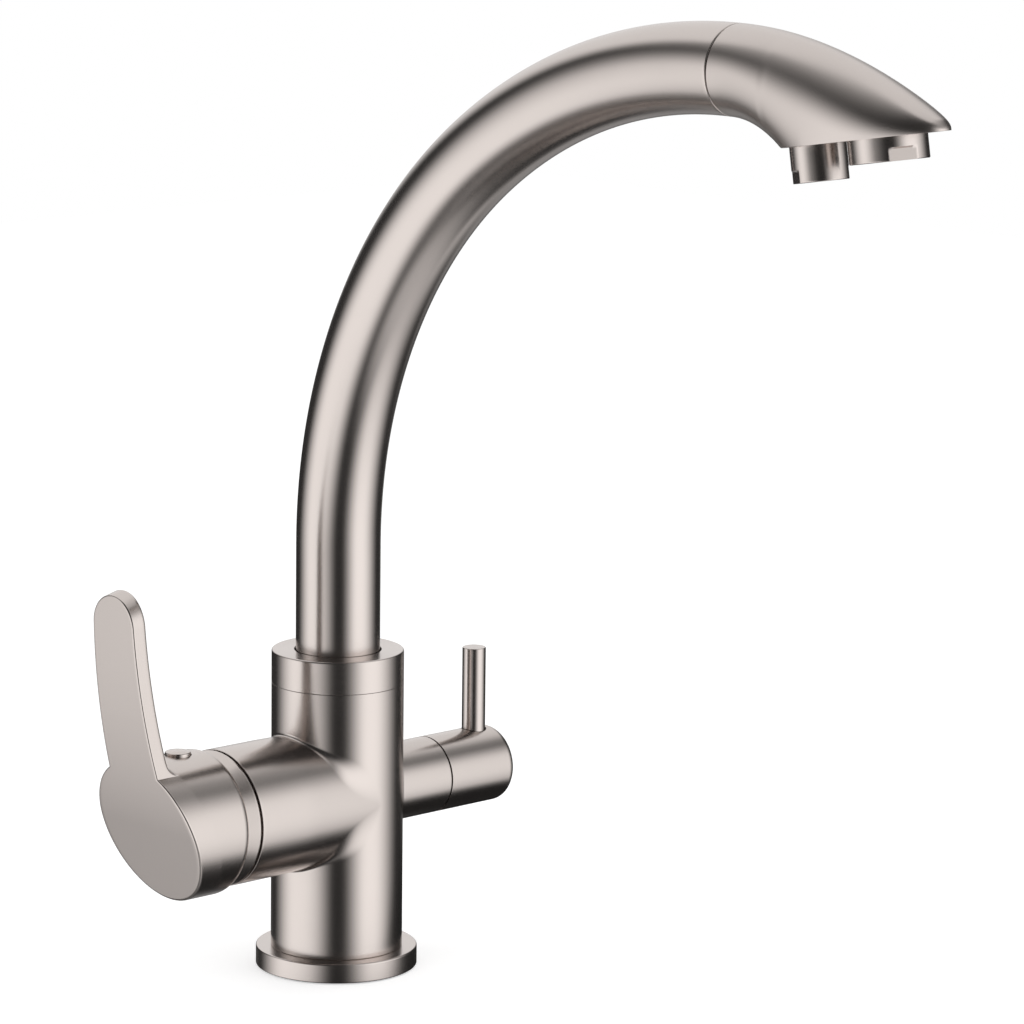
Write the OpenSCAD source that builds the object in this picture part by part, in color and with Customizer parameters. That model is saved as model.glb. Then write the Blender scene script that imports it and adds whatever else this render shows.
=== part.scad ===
// Drinking water filter tap: a three-way kitchen tap with a mixer lever on one side,
// a quarter-turn filter lever on the other and a swivelling spout with two outlets.
// Frame: origin at the centre of the base on the deck, X along the spout,
// the mixer lever on the -Y side, the filter lever on the +Y side, Z up. Millimetres.

/* [Body] */
// Column diameter
column_d = 44; // [38:0.5:50]
// Height of the seam between the column and the swivel collar
column_top = 96.5; // [85:0.5:120]
// Height of the axis that both side branches share
branch_z = 58.2; // [50:0.1:70]
// Base flange diameter
flange_d = 54; // [48:0.5:60]
// Base flange thickness
flange_h = 6.5; // [4:0.5:10]
// Mixer branch diameter at its rim
mixer_d = 45.2; // [42:0.1:50]
// Distance of the mixer branch's rim from the column's axis
mixer_rim = 51.3; // [45:0.1:60]
// Filter branch and filter handle diameter
filter_d = 26; // [22:0.5:32]
// Distance of the filter branch's rim from the column's axis
filter_rim = 40.1; // [34:0.1:50]
// Visible seam between two pieces
seam = 0.3; // [0.1:0.05:1]

/* [Inlets] */
// Tapping bore of the three M10x1 hose inlets
inlet_d = 9; // [8:0.1:12]
// Threaded depth of an inlet
inlet_depth = 13; // [8:1:20]
// Offset of the inlets and the stud hole from the axis along X
inlet_x = 8.5; // [6:0.1:11]
// Offset of the inlets and the stud hole from the axis along Y
inlet_y = 9.5; // [6:0.1:11]
// Tapping bore of the M8 fixing stud's hole
stud_d = 6.8; // [5:0.1:10]
// Depth of the stud's hole
stud_depth = 21; // [12:1:30]
// Diameter of the water ways in the body
way_d = 6.4; // [4:0.1:8]

/* [Swivel] */
// Collar height
collar_h = 11; // [6:0.5:20]
// Hole in the collar's top, around the spout tube
collar_hole_d = 29.2; // [28.4:0.1:32]
// Bore of the body's socket, around the swivel bush
socket_d = 31.8; // [30:0.1:34]
// Floor of the socket
socket_floor = 85.3; // [80:0.1:90]
// Bore for the nose of the spout spigot
nose_d = 24; // [18:0.1:26]
// Floor of the mixed water chamber under the nose
chamber_floor = 72; // [68:0.5:76]
// Radial clearance of pieces that turn in each other
run_gap = 0.05; // [0.02:0.01:0.1]
// Radial clearance of pieces that are only slipped together
slip_gap = 0.05; // [0.02:0.01:0.2]

/* [Spout] */
// Spout tube outside diameter
tube_d = 28; // [24:0.5:32]
// Spout tube wall
tube_wall = 1.4; // [1:0.1:2]
// Height where the bend starts
bend_z = 143.2; // [120:0.1:180]
// Radius of the first, tighter part of the bend
bend1_r = 167.3; // [120:0.1:200]
// Angle of the first part of the bend
bend1_a = 54.2; // [30:0.1:70]
// Radius of the second part of the bend
bend2_r = 184.4; // [120:0.1:220]
// Straight end of the tube, up to the head's seam
tube_end = 2; // [0:0.1:10]
// Filtered water tube diameter, inside the spout
water_d = 8; // [6:0.1:10]
// Filtered water tube wall
water_wall = 1; // [0.5:0.1:1.5]
// Foot of the filtered water tube in the body
water_foot = 68.5; // [66:0.1:70]
// Clearance between the filtered water tube's end and its outlet's washer
elbow_gap = 0.1; // [0.05:0.05:0.5]

/* [Spout head] */
// Length of the head along X, from the seam to the nose
head_len = 83; // [60:0.1:110]
// Height of the nose's tip below the tube's axis
nose_drop = 10.6; // [4:0.1:16]
// Blunt height of the nose
nose_blunt = 2.4; // [0.4:0.1:3]
// Largest half width of the head
head_w = 14.5; // [14:0.1:18]
// Length from the seam to the largest width
head_wide_at = 35.7; // [20:0.1:50]
// Sharpness of the nose, seen from above
nose_power = 2.2; // [1.6:0.1:3]
// Radius of the head's curved underside
under_r = 40; // [25:0.5:60]
// Slope of the flat underside and of the outlets
outlet_tilt = 9.7; // [0:0.1:20]
// Filtered water outlet, distance from the head's seam as a share of the head's length
filter_out_at = 0.398; // [0.36:0.001:0.43]
// Filtered water outlet diameter
filter_out_d = 17; // [14:0.1:20]
// Filtered water outlet length below the head
filter_out_len = 11; // [5:0.1:15]
// Mixed water outlet, distance from the head's seam as a share of the head's length
mixed_out_at = 0.729; // [0.66:0.0001:0.76]
// Mixed water outlet diameter
mixed_out_d = 23.6; // [20:0.1:26]
// Mixed water outlet length below the head
mixed_out_len = 7.3; // [4:0.1:12]
// Depth of the outlets' threads in the head
outlet_neck = 6; // [4:0.5:8]
// Depth of the spanner flats on the outlets
flat_depth = 0.9; // [0.4:0.1:1.5]

/* [Mixer lever] */
// Lever hub diameter
hub_d = 48; // [44:0.5:54]
// Distance of the hub's body-side edge from the column's axis
hub_back = 57.1; // [54:0.1:60]
// Rounding of the hub's body-side edge
hub_round = 3; // [1:0.5:5]
// Distance of the lever's face from the column's axis, on the hub's axis
face_y = 80.6; // [75:0.1:90]
// Lean of the lever's face at the hub
face_tilt = 19.7; // [0:0.1:30]
// Radius of the lever's curved face above the hub's axis
face_r = 241; // [150:1:400]
// Height above the hub's axis where the face starts to curve
face_turn = 2; // [0:0.5:20]
// Paddle thickness
paddle_t = 5; // [4:0.1:8]
// Paddle half width at the hub
paddle_w0 = 12.3; // [9:0.1:15]
// Paddle half width at its round tip
paddle_w1 = 10.2; // [8:0.1:14]
// Height of the round tip's centre above the hub's axis
paddle_tip = 70.2; // [50:0.1:90]
// Width of the square stem that carries the lever
stem_w = 8; // [6:0.1:10]
// Distance of the lever's cover plug from the column's axis
plug_y = 68.5; // [66:0.1:72]
// Cover plug diameter
plug_d = 8.6; // [6:0.1:10]
// Height of the cover plug above the hub
plug_proud = 1; // [0.5:0.1:2]

/* [Mixer cartridge] */
// Cartridge diameter
cart_d = 35; // [30:0.5:40]
// Seat of the cartridge, distance from the column's axis
seat_y = 20.5; // [18:0.1:24]
// Distance of the stem's pivot from the column's axis
pivot_y = 42; // [40:0.1:46]
// Rotor diameter
rotor_d = 22; // [18:0.1:24]
// Offset of the hot and cold ports below the branch axis
port_low = 6.2; // [5:0.1:8]
// Offset of the mixed water port above the branch axis
port_high = 9; // [7:0.1:10]

/* [Filter valve] */
// Length of the filter handle
handle_len = 29.6; // [24:0.1:40]
// Rounding of the handle's outer edge
handle_round = 3; // [1:0.5:5]
// Distance of the rod from the column's axis
rod_y = 61.7; // [58:0.1:66]
// Rod diameter
rod_d = 8; // [6:0.1:10]
// Height of the rod's top above the deck
rod_top = 99.4; // [85:0.1:120]
// Thread diameter of the ceramic headwork
headwork_d = 19; // [16:0.1:20]
// Spindle diameter
spindle_d = 8; // [6:0.1:9]

/* [Hidden] */
$fn = 96;

nickel = [0.79, 0.76, 0.73];
brass = [0.80, 0.66, 0.36];
rubber = [0.10, 0.10, 0.10];
ceramic = [0.93, 0.92, 0.89];
plastic = [0.88, 0.88, 0.85];

column_r = column_d / 2;
mixer_r = mixer_d / 2;
filter_r = filter_d / 2;
tube_r = tube_d / 2;
tube_ri = tube_r - tube_wall;
water_r = water_d / 2;
way_r = way_d / 2;
eps = 1;
edge = 0.6;

// base
tail_r = 19;
tail_z = 1;
gasket_r0 = 21;
gasket_r1 = 24.5;
gasket_h = 2;

// branches
branch_sink = 0.05;
branch_grow_y = 30;
rim_edge = 0.4;
mixed_way_r = way_r - 0.4;
mixed_way_y = inlet_y - 0.5;
filter_way_r = way_r - 0.2;
feed_r = 2.5;
feed_up = 7;
feed_end = 26;

// swivel
neck_r = 18.8;
collar_bevel = 0.8;
neck_top = column_top + 7;
collar_top = column_top + collar_h;
socket_r = socket_d / 2;
nose_r = nose_d / 2;
rim_r = socket_r - 0.3;
rim_z = socket_floor + 0.2;
rim_h = 2;
tube_foot = rim_z + rim_h;
nose_z = chamber_floor + 2;
spigot_bore_r = 8;
spigot_top = 99;
cord_r = 0.9;
groove_r = nose_r - 2 * cord_r - 0.05;
groove_w = 2.4;
groove_z = [nose_z + 3, nose_z + 7.5];
water_seal_r = 6;
water_seal_h = 2;
water_pit = 62.5;

// spout path
weld_lap = 0.4;
weld_step = 0.04;
function lap_angle(r) = weld_lap / r * 180 / PI;
mid_x = bend1_r * (1 - cos(bend1_a));
mid_z = bend_z + bend1_r * sin(bend1_a);
end_x = mid_x + bend2_r * cos(bend1_a);
axis_z = mid_z + bend2_r * (1 - sin(bend1_a));
seam_x = end_x + tube_end;

// spout head
filter_out_x = filter_out_at * head_len;
mixed_out_x = mixed_out_at * head_len;
tip_x = seam_x + head_len;
tip_z = axis_z - nose_drop;
flat_slope = tan(outlet_tilt);
function flat_z(x) = tip_z + flat_slope * (x - tip_x);
function span(x) = (x - seam_x) / head_len;
function top_z(x) = axis_z + tube_r - (tube_r + nose_drop - nose_blunt) * pow(span(x), 2);
function grow(x) = min(1, (x - seam_x) / head_wide_at);
function taper(x) = max(0, (x - seam_x - head_wide_at) / (head_len - head_wide_at));
function half_w(x) = x < seam_x + head_wide_at
    ? tube_r + (head_w - tube_r) * (1 - cos(180 * grow(x))) / 2
    : head_w * sqrt(1 - pow(taper(x), nose_power));
function under_t(x) = min(0.98, (x - seam_x) / under_r);
function under_z(x) = axis_z - tube_r - under_r * (1 - sqrt(1 - pow(under_t(x), 2)))
    - 60 * max(0, (x - seam_x) / under_r - 0.98);
function ease(t) = t * t * (3 - 2 * t);
function wide_z(x) = axis_z + (flat_z(x) - axis_z) * ease(min(1, span(x) / 0.955));
head_rows = 16;
head_cols = 24;
function row_x(i) = seam_x + head_len * 0.996 * (1 - pow(1 - i / head_rows, 1.6));
function under_depth(x) = wide_z(x) - max(under_z(x), flat_z(x) - 40);
function head_pt(x, a) = [x, half_w(x) * cos(a),
    wide_z(x) + (sin(a) >= 0 ? top_z(x) - wide_z(x) : under_depth(x)) * sin(a)];

// head's inside
head_tail = 8;
head_tail_r = tube_ri - 0.4;
head_cord_r = 0.75;
cavity_r = 10;
cavity_x = seam_x + 28;
filter_neck_r = 6.9;
mixed_neck_r = 10.5;
filter_hole_r = 5.8;
mixed_hole_r = 9.2;
washer_h = 1.4;
washer_fit = 0.05;
filter_washer_ri = water_r - 0.6;
mixed_washer_ri = 7.5;
lip = 1;
filter_flat_h = 3.6;
filter_flat_turn = -121;
mixed_flat_h = 3.8;
mixed_flat_turn = -26;
jet_h = 5;
filter_jet_r = 0.9;
filter_jet_pitch = 3;
mixed_jet_r = 1;
mixed_jet_pitch = 3.2;
elbow_room = 1.6;
elbow_shaft = 9;
mixed_duct_r = 5.5;
mixed_duct_back = 6;
mixed_duct_low = 0.5;
mixed_duct_lean = 9;
head_room = 20;
head_groove = 0.1;

// mixer
seat_r = cart_d / 2 + 0.25;
cart_r = cart_d / 2;
nut_r = 19.5;
nut_y = 44;
base_y = seat_y + 6;
disc_y = base_y + 3;
move_y = disc_y + 3;
carrier_y = move_y + 4;
cavity_end = 38;
neck_cart_r = 14;
cart_end = 50;
nut_end = 50.8;
disc_cavity_r = 15;
rotor_r = rotor_d / 2;
rotor_flange_r = 14;
rotor_end = 50.5;
slot_up = 5.2;
slot_down = 7.9;
pin_r = 1.5;
ball_r = 2.4;
ball_y = 35.6;
stem_end = 75;
stem_gap = 0.05;
hub_r = hub_d / 2;
hub_cavity_r = 21;
hub_floor = 64;
cover_r = 22.3;
cover_y = mixer_rim + 0.4;
cover_edge = 0.3;
cover_land = 0.6;
cover_fit = 0.1;
cover_end_r = 19.6;
cover_end_y = hub_back + 0.5;
cover_tip_y = hub_back + 1.3;
port_r = 3;
port_seat_r = 5.2;
port_seal_ri = 3.4;
port_seat_h = 1.5;
move_gap = 0.02;
move_r = 10.5;
move_way_r = 5.5;
move_way_h = 1.6;
move_way_up = 4;
carrier_r = 9.5;
carrier_floor = 0.5;
ball_gap = 0.2;
rotor_gap = 0.4;
slot_gap = 0.1;
stem_neck_r = 1.5;
pin_end = 0.4;
nut_lead = 1.5;
face_k = tan(face_tilt);
turn_y = face_y + face_k * face_turn;
arc_y = face_r * cos(face_tilt) - turn_y;
arc_z = face_turn + face_r * sin(face_tilt);
plug_floor = 13;
grub_r = 2.5;

// filter valve
valve_seat = 19;
chamber_y = 30;
chamber_r = 8;
headwork_r = headwork_d / 2;
insert_r = 7.2;
valve_bore_r = 6.5;
valve_loose_r = valve_bore_r - 0.3;
seal_hole_r = 4;
seal_end = valve_seat + 2.5;
fixed_end = seal_end + 2.5;
moving_end = fixed_end + 2.2;
driver_end = moving_end + 2.7;
driver_way = moving_end + 1.4;
cross_y = moving_end + 0.8;
valve_gap = 0.02;
valve_way_r = 1.5;
valve_way_x = 2.6;
side_way_r = 1.2;
side_way_y = moving_end - 1;
window_r = 1.6;
spindle_r = spindle_d / 2;
hex_r = 9.8;
hex_h = 4.9;
hex_end = filter_rim + hex_h;
valve_cord_r = 0.8;
valve_groove_w = 2;
valve_groove_y = filter_rim - 1.2;
spindle_cord_r = 0.54;
spindle_groove_w = 1.8;
spindle_groove_y = chamber_y + 4.9;
clip_depth = 0.6;
clip_reach = 1.8;
clip_h = 0.8;
clip_mouth = 3.2;
handle_y0 = filter_rim + seam;
handle_y1 = handle_y0 + handle_len;
handle_cavity_r = 10.6;
handle_floor = 52;
spindle_end = 57;
rod_pit = 2.5;
rod_thread_r = 2.5;
handle_grub_r = 2;
handle_grub_y = 54.6;

// Upright cylinder from z0 to z1.
module upright(r, z0, z1, x = 0, y = 0) {
    translate([x, y, z0]) cylinder(r = r, h = z1 - z0);
}

// Cylinder along Y from y0 to y1, on the branch axis unless told otherwise.
module along_y(r, y0, y1, x = 0, z = branch_z, fn = $fn) {
    translate([x, y0, z]) rotate([-90, 0, 0]) cylinder(r = r, h = y1 - y0, $fn = fn);
}

// Cylinder along X from x0 to x1.
module along_x(r, x0, x1, y = 0, z = axis_z) {
    translate([x0, y, z]) rotate([0, 90, 0]) cylinder(r = r, h = x1 - x0);
}

// Upright ring.
module ring(ro, ri, z0, z1) {
    difference() {
        upright(ro, z0, z1);
        upright(ri, z0 - eps, z1 + eps);
    }
}

// Ring along Y on the branch axis.
module ring_y(ro, ri, y0, y1, x = 0, z = branch_z) {
    difference() {
        along_y(ro, y0, y1, x, z);
        along_y(ri, y0 - eps, y1 + eps, x, z);
    }
}

// Body turned about the branch axis; its points are [radius, distance along -Y].
module turned_mixer(points) {
    translate([0, 0, branch_z]) rotate([90, 0, 0]) rotate_extrude() polygon(points);
}

// Body turned about the branch axis; its points are [radius, distance along +Y].
module turned_filter(points) {
    translate([0, 0, branch_z]) rotate([-90, 0, 0]) rotate_extrude() polygon(points);
}

// Round cord bent to a ring about Z.
module cord_ring(r, c, z) {
    translate([0, 0, z]) rotate_extrude() translate([r, 0]) circle(r = c, $fn = 32);
}

// Round cord bent to a ring about the branch axis.
module cord_ring_y(r, c, y) {
    translate([0, y, branch_z]) rotate([-90, 0, 0]) cord_ring(r, c, 0);
}

// Length of pipe along Z.
module pipe(ro, ri, h) {
    linear_extrude(h) difference() {
        circle(r = ro);
        circle(r = ri);
    }
}

// Length of pipe bent in the XZ plane about the origin, from angle a0 to a1.
module pipe_bend(r, a0, a1, ro, ri) {
    rotate([90, 0, 0]) rotate([0, 0, a0]) rotate_extrude(angle = a1 - a0) translate([r, 0]) difference() {
        circle(r = ro);
        circle(r = ri);
    }
}

// Pipe along the spout's centreline, from height z0 round the bend and on along X to x1.
// Its lengths lap into each other at the welds, every other one a hair thinner.
module spout_pipe(ro, ri, z0, x1) {
    translate([0, 0, z0]) pipe(ro, ri, bend_z - z0 + weld_lap);
    translate([bend1_r, 0, bend_z])
        pipe_bend(bend1_r, 180 - bend1_a, 180, ro - weld_step, ri - weld_step);
    translate([end_x, 0, axis_z - bend2_r])
        pipe_bend(bend2_r, 90, 180 - bend1_a + lap_angle(bend2_r), ro, ri);
    translate([end_x - weld_lap, 0, axis_z]) rotate([0, 90, 0])
        pipe(ro - weld_step, ri - weld_step, x1 - end_x + weld_lap);
}

// Places an outlet's piece: its own Z runs up into the head, square to the flat underside.
module at_outlet(dx) {
    translate([seam_x + dx, 0, flat_z(seam_x + dx)]) rotate([0, -outlet_tilt, 0]) children();
}

module base_flange() {
    color(nickel) difference() {
        rotate_extrude() polygon([[tail_r + slip_gap, 0], [flange_d / 2, 0],
            [flange_d / 2, flange_h - edge], [flange_d / 2 - edge, flange_h],
            [tail_r + slip_gap, flange_h]]);
        ring(gasket_r1, gasket_r0, -eps, gasket_h);
    }
}

module base_gasket() {
    color(rubber) ring(gasket_r1, gasket_r0, 0, gasket_h);
}

// The mixer branch starts inside the column and widens a little towards its rim.
module body_outside() {
    upright(tail_r, tail_z, flange_h + eps);
    upright(column_r, flange_h, column_top);
    upright(neck_r, column_top - eps, neck_top);
    turned_mixer([[0, 0], [column_r - branch_sink, 0], [mixer_r, branch_grow_y],
        [mixer_r, mixer_rim - rim_edge], [mixer_r - rim_edge, mixer_rim], [0, mixer_rim]]);
    along_y(filter_r, 0, filter_rim);
}

module hot_and_cold_ways() {
    for (x = [-inlet_x, inlet_x]) {
        upright(inlet_d / 2, tail_z - eps, tail_z + inlet_depth, x, -inlet_y);
        upright(way_r, tail_z + inlet_depth - eps, branch_z - port_low, x, -inlet_y);
        along_y(way_r, -seat_y - eps, -inlet_y, x, branch_z - port_low);
    }
}

module mixed_way() {
    along_y(mixed_way_r, -seat_y - eps, -inlet_y, 0, branch_z + port_high);
    upright(mixed_way_r, branch_z + port_high, chamber_floor + eps, 0, -mixed_way_y);
}

module filter_way() {
    upright(inlet_d / 2, tail_z - eps, tail_z + inlet_depth, inlet_x, inlet_y);
    upright(filter_way_r, tail_z + inlet_depth - eps, branch_z, inlet_x, inlet_y);
    along_x(filter_way_r, 0, inlet_x, inlet_y, branch_z);
    along_y(filter_way_r, inlet_y, valve_seat + eps);
    along_y(feed_r, 0, feed_end, 0, branch_z + feed_up);
}

module tap_body() {
    color(nickel) difference() {
        body_outside();
        upright(socket_r, socket_floor, neck_top + eps);
        upright(nose_r, chamber_floor, socket_floor + eps);
        upright(water_seal_r, chamber_floor - water_seal_h, chamber_floor + eps);
        upright(water_r + run_gap, water_pit, chamber_floor);
        along_y(seat_r, -mixer_rim - eps, -seat_y);
        along_y(nut_r, -mixer_rim - eps, -nut_y + nut_lead);
        along_y(chamber_r, valve_seat, chamber_y + eps);
        along_y(headwork_r, chamber_y, filter_rim + eps);
        hot_and_cold_ways();
        mixed_way();
        filter_way();
        upright(stud_d / 2, tail_z - eps, tail_z + stud_depth, -inlet_x, inlet_y);
    }
}

module swivel_collar() {
    color(nickel) rotate_extrude() polygon([[neck_r + slip_gap, column_top + seam],
        [column_r, column_top + seam], [column_r, collar_top - edge], [column_r - edge, collar_top],
        [collar_hole_d / 2 + collar_bevel, collar_top], [collar_hole_d / 2, collar_top - collar_bevel],
        [collar_hole_d / 2, neck_top], [neck_r + slip_gap, neck_top]]);
}

module swivel_bush() {
    color(plastic) ring(socket_r - slip_gap, tube_r + run_gap, tube_foot + 0.1, neck_top);
}

module spout_spigot() {
    color(brass) difference() {
        union() {
            upright(nose_r - run_gap, nose_z, rim_z + eps);
            upright(rim_r, rim_z, tube_foot);
            upright(tube_ri - slip_gap, tube_foot - eps, spigot_top);
        }
        upright(spigot_bore_r, nose_z - eps, spigot_top + eps);
        for (z = groove_z) ring(nose_r + eps, groove_r, z - groove_w / 2, z + groove_w / 2);
    }
}

module spigot_o_ring_low() {
    color(rubber) cord_ring(groove_r + cord_r + 0.02, cord_r, groove_z[0]);
}

module spigot_o_ring_high() {
    color(rubber) cord_ring(groove_r + cord_r + 0.02, cord_r, groove_z[1]);
}

module spout_tube() {
    color(nickel) spout_pipe(tube_r, tube_ri, tube_foot, seam_x);
}

// Elbow in the head: from the spout's axis round to the filtered water outlet.
elbow_a = 90 - outlet_tilt;
outlet_top = outlet_neck + washer_h;
filter_x = seam_x + filter_out_x;
elbow_end_x = filter_x - outlet_top * sin(outlet_tilt);
elbow_end_z = flat_z(filter_x) + outlet_top * cos(outlet_tilt) + elbow_gap;
elbow_r = (axis_z - elbow_end_z) / (1 - cos(elbow_a));
elbow_x = elbow_end_x - elbow_r * sin(elbow_a);
module filter_water_tube() {
    color(plastic) {
        spout_pipe(water_r, water_r - water_wall, water_foot, elbow_x);
        translate([elbow_x, 0, axis_z - elbow_r])
            pipe_bend(elbow_r, 90 - elbow_a, 90 + lap_angle(elbow_r), water_r, water_r - water_wall);
    }
}

module water_tube_o_ring() {
    color(rubber) cord_ring((water_seal_r + water_r) / 2, (water_seal_r - water_r) / 2 - 0.05,
        chamber_floor - water_seal_h / 2);
}

// Sections across X: half ellipses above and below the widest line, then the flat underside.
module head_outside() {
    points = [for (i = [0:head_rows]) for (k = [0:head_cols - 1]) head_pt(row_x(i), 360 * k / head_cols)];
    sides = [for (i = [0:head_rows - 1]) for (k = [0:head_cols - 1])
        let (a = i * head_cols + k, b = i * head_cols + (k + 1) % head_cols)
        each [[a, b + head_cols, b], [a, a + head_cols, b + head_cols]]];
    near = [for (k = [0:head_cols - 1]) k];
    far = [for (k = [head_cols - 1:-1:0]) head_rows * head_cols + k];
    difference() {
        polyhedron(points, concat(sides, [near], [far]), convexity = 4);
        translate([tip_x, 0, tip_z]) rotate([0, -outlet_tilt, 0])
            translate([-head_len - head_room, -2 * head_w, -3 * under_r])
            cube([head_len + 3 * head_room, 4 * head_w, 3 * under_r]);
    }
}

module head_cavity() {
    along_x(cavity_r, seam_x - head_tail - eps, cavity_x);
    at_outlet(filter_out_x) {
        translate([0, 0, -eps]) cylinder(r = filter_neck_r + slip_gap, h = outlet_top + eps);
        cylinder(r = water_r + elbow_room, h = outlet_top + elbow_shaft);
    }
    at_outlet(mixed_out_x) {
        translate([0, 0, -eps]) cylinder(r = mixed_neck_r + slip_gap, h = outlet_top + eps);
    }
    translate([cavity_x - mixed_duct_back, 0, axis_z - mixed_duct_low]) rotate([0, 90 + mixed_duct_lean, 0])
        cylinder(r = mixed_duct_r, h = seam_x + mixed_out_x - cavity_x + mixed_duct_back);
}

module spout_head() {
    color(nickel) difference() {
        union() {
            head_outside();
            along_x(head_tail_r, seam_x - head_tail, seam_x + eps);
        }
        head_cavity();
        translate([seam_x - head_tail / 2, 0, axis_z]) rotate([0, 90, 0])
            ring(tube_r, tube_ri - 2 * head_cord_r - head_groove, -1, 1);
    }
}

module head_o_ring() {
    color(rubber) translate([seam_x - head_tail / 2, 0, axis_z]) rotate([0, 90, 0])
        cord_ring(tube_ri - head_cord_r - 0.07, head_cord_r - 0.02, 0);
}

// Threaded outlet: sleeve with two spanner flats, neck up into the head, lip at its mouth.
module outlet_housing(d, len, neck_r, hole_r, flat_h, flat_turn) {
    difference() {
        union() {
            translate([0, 0, -len]) cylinder(r = d / 2, h = len);
            translate([0, 0, -eps]) cylinder(r = neck_r, h = outlet_neck + eps);
        }
        translate([0, 0, -len + lip]) cylinder(r = hole_r, h = len + outlet_neck);
        translate([0, 0, -len - eps]) cylinder(r = hole_r - lip, h = len);
        for (t = [0, 180]) rotate([0, 0, flat_turn + t])
            translate([d / 2 - flat_depth, -d / 2, -len - eps]) cube([d, d, flat_h + eps]);
    }
}

module filter_outlet_housing() {
    color(nickel) at_outlet(filter_out_x)
        outlet_housing(filter_out_d, filter_out_len, filter_neck_r, filter_hole_r,
            filter_flat_h, filter_flat_turn);
}

module mixed_outlet_housing() {
    color(nickel) at_outlet(mixed_out_x)
        outlet_housing(mixed_out_d, mixed_out_len, mixed_neck_r, mixed_hole_r,
            mixed_flat_h, mixed_flat_turn);
}

// Round jet plate: one centre hole and rings of six and twelve holes.
module jet_plate(r, z0, z1, hole, pitch, rings) {
    difference() {
        translate([0, 0, z0]) cylinder(r = r, h = z1 - z0);
        translate([0, 0, z0 - eps]) cylinder(r = hole, h = z1 - z0 + 2 * eps);
        for (n = [1:rings]) for (k = [0:6 * n - 1]) rotate([0, 0, 60 / n * k])
            translate([pitch * n, 0, z0 - eps]) cylinder(r = hole, h = z1 - z0 + 2 * eps);
    }
}

module filter_outlet_insert() {
    color(plastic) at_outlet(filter_out_x)
        jet_plate(filter_hole_r - slip_gap, -filter_out_len + lip, -filter_out_len + lip + jet_h,
            filter_jet_r, filter_jet_pitch, 1);
}

module mixed_outlet_aerator() {
    color(plastic) at_outlet(mixed_out_x)
        jet_plate(mixed_hole_r - slip_gap, -mixed_out_len + lip, -mixed_out_len + lip + jet_h,
            mixed_jet_r, mixed_jet_pitch, 2);
}

module filter_outlet_washer() {
    color(rubber) at_outlet(filter_out_x)
        ring(filter_neck_r, filter_washer_ri, outlet_neck, outlet_top - washer_fit);
}

module mixed_outlet_washer() {
    color(rubber) at_outlet(mixed_out_x) ring(mixed_neck_r, mixed_washer_ri, outlet_neck, outlet_top);
}

// Places a thing at each of the cartridge's three ports.
module at_ports() {
    for (p = [[-inlet_x, -port_low], [inlet_x, -port_low], [0, port_high]])
        translate([p[0], 0, p[1]]) children();
}

module cartridge_base() {
    color(plastic) difference() {
        along_y(cart_r, -base_y, -seat_y);
        at_ports() along_y(port_r, -base_y - eps, -seat_y + eps);
        at_ports() along_y(port_seat_r, -seat_y - port_seat_h, -seat_y + eps);
    }
}

module cartridge_port_seals() {
    color(rubber) at_ports() ring_y(port_seat_r, port_seal_ri, -seat_y - port_seat_h, -seat_y);
}

module cartridge_fixed_disc() {
    color(ceramic) difference() {
        along_y(disc_cavity_r - slip_gap, -disc_y, -base_y);
        at_ports() along_y(port_r, -disc_y - eps, -base_y + eps);
    }
}

module cartridge_moving_disc() {
    color(ceramic) difference() {
        along_y(move_r, -move_y, -disc_y - move_gap);
        along_y(move_way_r, -disc_y - move_way_h, -disc_y + eps, 0, branch_z + move_way_up);
    }
}

module cartridge_disc_carrier() {
    color(plastic) difference() {
        along_y(carrier_r, -carrier_y, -move_y);
        along_y(ball_r + ball_gap, -carrier_y - eps, -move_y - carrier_floor);
    }
}

module cartridge_body() {
    color(plastic) turned_mixer([[disc_cavity_r, base_y], [cart_r, base_y], [cart_r, nut_y],
        [neck_cart_r, nut_y], [neck_cart_r, cart_end], [rotor_r + run_gap, cart_end],
        [rotor_r + run_gap, cavity_end], [disc_cavity_r, cavity_end]]);
}

module cartridge_rotor() {
    color(plastic) difference() {
        turned_mixer([[0, carrier_y + rotor_gap], [rotor_flange_r, carrier_y + rotor_gap],
            [rotor_flange_r, cavity_end - run_gap], [rotor_r, cavity_end - run_gap], [rotor_r, rotor_end],
            [0, rotor_end]]);
        translate([-stem_w / 2 - slot_gap, -rotor_end - eps, branch_z - slot_down])
            cube([stem_w + 2 * slot_gap, rotor_end - carrier_y + 2 * eps, slot_up + slot_down]);
        along_x(pin_r, -rotor_r - eps, rotor_r + eps, -pivot_y, branch_z);
    }
}

module cartridge_nut() {
    color(brass) ring_y(nut_r - slip_gap, neck_cart_r + slip_gap, -nut_end, -nut_y);
}

module cover_ring() {
    color(nickel) turned_mixer([[neck_cart_r + cover_edge, nut_end], [nut_r - cover_fit, nut_end],
        [nut_r - cover_fit, cover_y], [cover_r - cover_edge, cover_y], [cover_r, cover_y + cover_edge],
        [cover_r, cover_y + cover_edge + cover_land], [cover_end_r, cover_end_y],
        [neck_cart_r + cover_edge, cover_tip_y]]);
}

module lever_stem() {
    color(brass) difference() {
        union() {
            translate([-stem_w / 2, -stem_end, branch_z - stem_w / 2])
                cube([stem_w, stem_end - pivot_y + 3, stem_w]);
            along_y(stem_neck_r, -pivot_y, -ball_y);
            translate([0, -ball_y, branch_z]) sphere(r = ball_r);
        }
        along_x(pin_r + run_gap, -stem_w, stem_w, -pivot_y, branch_z);
    }
}

module stem_pin() {
    color(nickel) along_x(pin_r, -rotor_r + pin_end, rotor_r - pin_end, -pivot_y, branch_z);
}

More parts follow.
